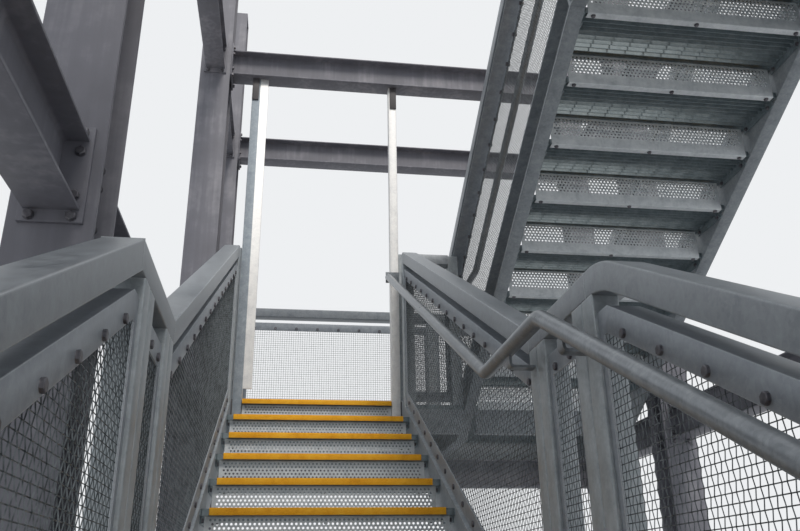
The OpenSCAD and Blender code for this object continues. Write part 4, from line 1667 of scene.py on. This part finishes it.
@dataclass
class Fixings:
    """All the bolts and nuts that show."""

    frame_bolt: Bolt = Bolt(22.0, 6.5, 25.0, 1.5, 12)
    beam_bolt: Bolt = Bolt(24.0, 10.0, 30.0, 3.0)
    small_bolt: Bolt = Bolt(17.0, 7.0, 24.0, 2.0)
    low_flight_pitch: float = 169.5
    high_flight_pitch: float = 177.5
    level_pitch: float = 180.0
    bend_margin: float = 77.0
    climb_margin: float = 44.0
    level_margin: float = 62.0
    frame_face: float = 10.0
    frame_back: float = 21.0
    frame_top: float = 973.0
    top_drop: float = 50.0
    frame_bottom: float = 27.0
    bottom_rise: float = 37.5
    tread_bolts: tuple[float, float] = (60.0, 265.0)
    tread_drop: float = 50.0
    lip_bolts: tuple[float, ...] = (-510.0, 0.0, 510.0)
    lip_set: float = 13.0
    head_drop: float = 260.0
    upper_turn_drop: float = 68.0
    strut_drop: float = 30.0
    column_set: float = 88.0
    rear_set: float = 140.0
    hanger_set: float = 35.0
    middle_set: float = 280.0
    plate: float = 12.0
    plate_half: float = 75.0
    plate_levels: tuple[float, ...] = (18.0, -42.0, -173.0, -233.0)
    line_set: float = 110.0
    web_face: float = 122.0
    flange_half: float = 52.0
    grip: float = 26.0

    def bolt_places(self, bay: Bay) -> np.ndarray:
        """Places of the bolts along a panel, as distances on plan.

        Args:
            bay: the panel.

        Returns:
            Places counted down from the bend of a first flight's panel, up from the foot of a second
            flight's, and evenly along a level one.
        """
        start, stop = bay.line[0][0], bay.line[-1][0]
        if len(bay.line) > 2:
            return np.arange(bay.line[-2][0] - self.bend_margin, start + self.climb_margin,
                             -self.low_flight_pitch)
        if bay.line[0][1] != bay.line[1][1]:
            return np.arange(start + self.climb_margin, stop - self.climb_margin, self.high_flight_pitch)
        start, stop = start + self.level_margin, stop - self.level_margin
        return np.linspace(start, stop, max(1, round((stop - start) / self.level_pitch)) + 1)

    def frame_bolts(self, bays: list[Bay], run: Run) -> Sketch:
        """Draws the bolts through the mesh frames of some panels, with their nuts behind.

        Args:
            bays: the panels.
            run: the run.

        Returns:
            The drawing, in the tower's frame.
        """
        sketch = Sketch()
        for bay in bays:
            places = self.bolt_places(bay)
            heights = bay.height(places)
            lean = np.hypot(1.0, bay.height(places + 0.5) - bay.height(places - 0.5))
            for row in (self.frame_bottom + self.bottom_rise * lean, self.frame_top - self.top_drop * lean):
                for out, away in ((self.frame_face, -1.0), (self.frame_back, 1.0)):
                    at = np.stack([np.full(len(places), out), places, heights + row], 1)
                    self.frame_bolt.add(sketch, bay.place(at), bay.outward(away))
        return sketch.in_run(run)

    def guard_fixings(self) -> None:
        """Builds the bolts of all the mesh frames."""
        for run in Run:
            sketch = self.frame_bolts([b for side in Side for b in Bays.run_bays(run, side)], run)
            dress(sketch.piece(f"frame_bolts_{run.letter}", Smooth.SMALL), BOLT_STEEL, "mesh_frame_steel")
        lower, upper = (self.frame_bolts(Bays.landing_bays(run), run) for run in Run)
        both = lower.joined(upper)
        dress(both.piece("frame_bolts_landings", Smooth.SMALL), BOLT_STEEL, "mesh_frame_steel")

    def run_tread_bolts(self, sketch: Sketch, run: Run) -> None:
        """Adds the bolts at the treads' ends and under the risers' lips of one run.

        Args:
            sketch: where they are drawn.
            run: the run.
        """
        for number in (n for n in range(1, 2 * STAIR.risers) if n != STAIR.risers):
            u, z = STAIR.nosing(number)
            for side in Side:
                x = side.value * (STAIR.half_width - STAIR.tread_plate)
                at = np.array([[x, u + along, z - self.tread_drop] for along in self.tread_bolts])
                self.small_bolt.add(sketch, at, -side.value * X_AXIS)
            under = z - STAIR.nosing_thickness - STAIR.grating - STAIR.riser
            at = np.array([[x, u + STAIR.going + self.lip_set, under] for x in self.lip_bolts])
            self.small_bolt.add(sketch, at, -Z_AXIS)

    def stair_fixings(self) -> None:
        """Builds the bolts of the treads and risers."""
        both = in_both_runs(self.run_tread_bolts)
        dress(both.piece("tread_bolts", Smooth.SMALL), BOLT_STEEL, "channel_steel")

    def plate_bolts(self, along: float, face: float, top: float, inward: float) -> np.ndarray:
        """Places of the bolts of one side beam's end plate.

        Args:
            along: middle of the plate, along the tower.
            face: its face, across the tower.
            top: height of the beam's top.
            inward: direction of the beam, 1 or -1.

        Returns:
            Rows of places.
        """
        return np.array([[face + inward * self.plate, along + dy, top + dz]
                         for dy in (-self.plate_half, self.plate_half) for dz in self.plate_levels])

    def strut_bolts(self, sketch: Sketch, line: float, rows: list[float]) -> None:
        """Adds the bolts and nuts of the struts between the columns of one side.

        Args:
            sketch: where they are drawn.
            line: middle of the columns, across the tower.
            rows: places of the columns, along the tower.
        """
        for first, last in zip(rows, rows[1:]):
            for top in (2 * STAIR.storey - self.head_drop, STAIR.storey - self.strut_drop):
                for face, away in ((first + self.web_face, 1.0), (last - self.web_face, -1.0)):
                    at = np.array([[line + dx, face, top + dz]
                                   for dx in (-self.flange_half, self.flange_half)
                                   for dz in self.plate_levels])
                    self.beam_bolt.add(sketch, at, away * U_AXIS)
                    self.beam_bolt.add(sketch, at - away * self.grip * U_AXIS, -away * U_AXIS)

    def beam_fixings(self) -> None:
        """Builds the bolts of the beams' end plates, with their nuts in the columns."""
        sketch = Sketch()
        heads = 2 * STAIR.storey - self.head_drop
        seat = STAIR.curb - STAIR.channel_depth
        low, middle = STAIR.storey + seat, STAIR.turn_level + seat
        column = STAIR.toe + self.column_set
        rear, hang = STAIR.end + STAIR.full_landing - self.rear_set, STAIR.end + self.hanger_set
        rows = [STAIR.return_u - rear, STAIR.return_u - hang, STAIR.flight + self.middle_set, hang, rear]
        tops = [(rows[i], heads) for i in (0, 1, 3, 4)] + [(rows[i], low) for i in (0, 4)]
        tops += [(rows[2], middle), (rows[2], middle + STAIR.storey - self.upper_turn_drop)]
        for end, inward in ((-column, 1.0), (STAIR.pitch + column, -1.0)):
            for row, top in tops:
                self.beam_bolt.add(sketch, self.plate_bolts(row, end, top, inward), inward * X_AXIS)
            self.strut_bolts(sketch, end - inward * self.line_set, rows)
        dress(sketch.in_run(Run.LOWER).piece("beam_bolts", Smooth.SMALL), BOLT_STEEL, "painted_steel")

    def build(self) -> None:
        """Builds every fixing."""
        self.guard_fixings()
        self.stair_fixings()
        self.beam_fixings()


# Floor, light and camera

@dataclass
class Studio:
    """A pale floor, soft light from above and behind the viewer, and the photograph's viewpoint."""

    yaw_deg: float = 8.570
    pitch_deg: float = 22.216
    roll_deg: float = -0.955
    focal_px: float = 791.8
    width_px: float = 800.0
    eye: tuple[float, float, float] = (-1.0379, -2.2938, 1.8077)
    sensor: float = 36.0
    sight: tuple[float, float] = (0.02, 300.0)
    floor_size: float = 120.0
    floor_thickness: float = 60.0
    floor_colour: str = "BFC0C1"
    floor_roughness: float = 0.9
    sky_colour: str = "EEF3F8"
    sky_strength: float = 0.86
    backdrop_colour: str = "EEF0F2"
    lamp_colour: str = "FFF9F2"
    lamp_strength: float = 1.8
    lamp_angle_deg: float = 18.0
    lamp_towards: tuple[float, float, float] = (0.14, -0.62, 0.77)

    def camera(self) -> None:
        """Makes the camera from the angles that the photograph's straight edges gave."""
        yaw, pitch, roll = (math.radians(a) for a in (self.yaw_deg, self.pitch_deg, self.roll_deg))
        forward = Vector((math.sin(yaw) * math.cos(pitch), math.cos(yaw) * math.cos(pitch), math.sin(pitch)))
        level = Vector((math.cos(yaw), -math.sin(yaw), 0.0))
        up = level.cross(forward)
        right = math.cos(roll) * level + math.sin(roll) * up
        upright = -math.sin(roll) * level + math.cos(roll) * up
        data = bpy.data.cameras.new("viewpoint")
        data.sensor_fit = "HORIZONTAL"
        data.sensor_width = self.sensor
        data.lens = self.focal_px * data.sensor_width / self.width_px
        data.clip_start, data.clip_end = self.sight
        camera = bpy.data.objects.new("viewpoint", data)
        turn = Matrix((right, upright, -forward)).transposed()
        camera.matrix_world = Matrix.Translation(Vector(self.eye)) @ turn.to_4x4()
        bpy.context.scene.collection.objects.link(camera)
        bpy.context.scene.camera = camera

    def floor(self) -> None:
        """Makes the pale floor."""
        half = self.floor_size / 2 / MM
        sketch = Sketch()
        sketch.boxes([-half, -half, -self.floor_thickness], [half, half, 0.0])
        floor = sketch.piece("studio_floor", Smooth.BARS)
        finish = bpy.data.materials.new("pale_studio_floor")
        finish.use_nodes = True
        shader = finish.node_tree.nodes["Principled BSDF"]
        shader.inputs["Base Color"].default_value = linear(self.floor_colour)
        shader.inputs["Roughness"].default_value = self.floor_roughness
        floor.data.materials.append(finish)

    def sky(self) -> None:
        """Soft world light, seen by the camera and by gloss as a pale backdrop."""
        world = bpy.data.worlds.new("soft_sky")
        bpy.context.scene.world = world
        world.use_nodes = True
        tree = world.node_tree
        tree.nodes.clear()
        rays = add_node(tree, "LightPath").outputs
        seen = add_node(tree, "Math", operation="MAXIMUM", i0=rays["Is Camera Ray"],
                        i1=rays["Is Transmission Ray"])
        seen = add_node(tree, "Math", operation="MAXIMUM", i0=seen.outputs["Value"],
                        i1=rays["Is Glossy Ray"])
        light = add_node(tree, "Background", Color=linear(self.sky_colour), Strength=self.sky_strength)
        backdrop = add_node(tree, "Background", Color=linear(self.backdrop_colour), Strength=1.0)
        mixed = add_node(tree, "MixShader", i0=seen.outputs["Value"], i1=light.outputs["Background"],
                         i2=backdrop.outputs["Background"])
        add_node(tree, "OutputWorld", Surface=mixed.outputs["Shader"])

    def sun(self) -> None:
        """One broad lamp high behind the viewer."""
        data = bpy.data.lights.new("broad_lamp", "SUN")
        data.energy = self.lamp_strength
        data.angle = math.radians(self.lamp_angle_deg)
        data.color = linear(self.lamp_colour)[:3]
        lamp = bpy.data.objects.new("broad_lamp", data)
        lamp.rotation_euler = Vector(self.lamp_towards).to_track_quat("Z", "Y").to_euler()
        bpy.context.scene.collection.objects.link(lamp)

    def build(self) -> None:
        """Sets up the view."""
        self.camera()
        self.floor()
        self.sky()
        self.sun()
        bpy.context.scene.view_settings.view_transform = "Standard"


def main() -> None:
    """Builds the pieces in order."""
    logging.basicConfig(level=logging.INFO)
    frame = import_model()
    Studio().build()
    SteelWork().build(frame["nodes"])
    Gratings().build()
    PerforatedRisers().build()
    WovenMesh().build()
    Handrails().build()
    Fixings().build()
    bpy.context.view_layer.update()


if __name__ == "__main__":
    main()
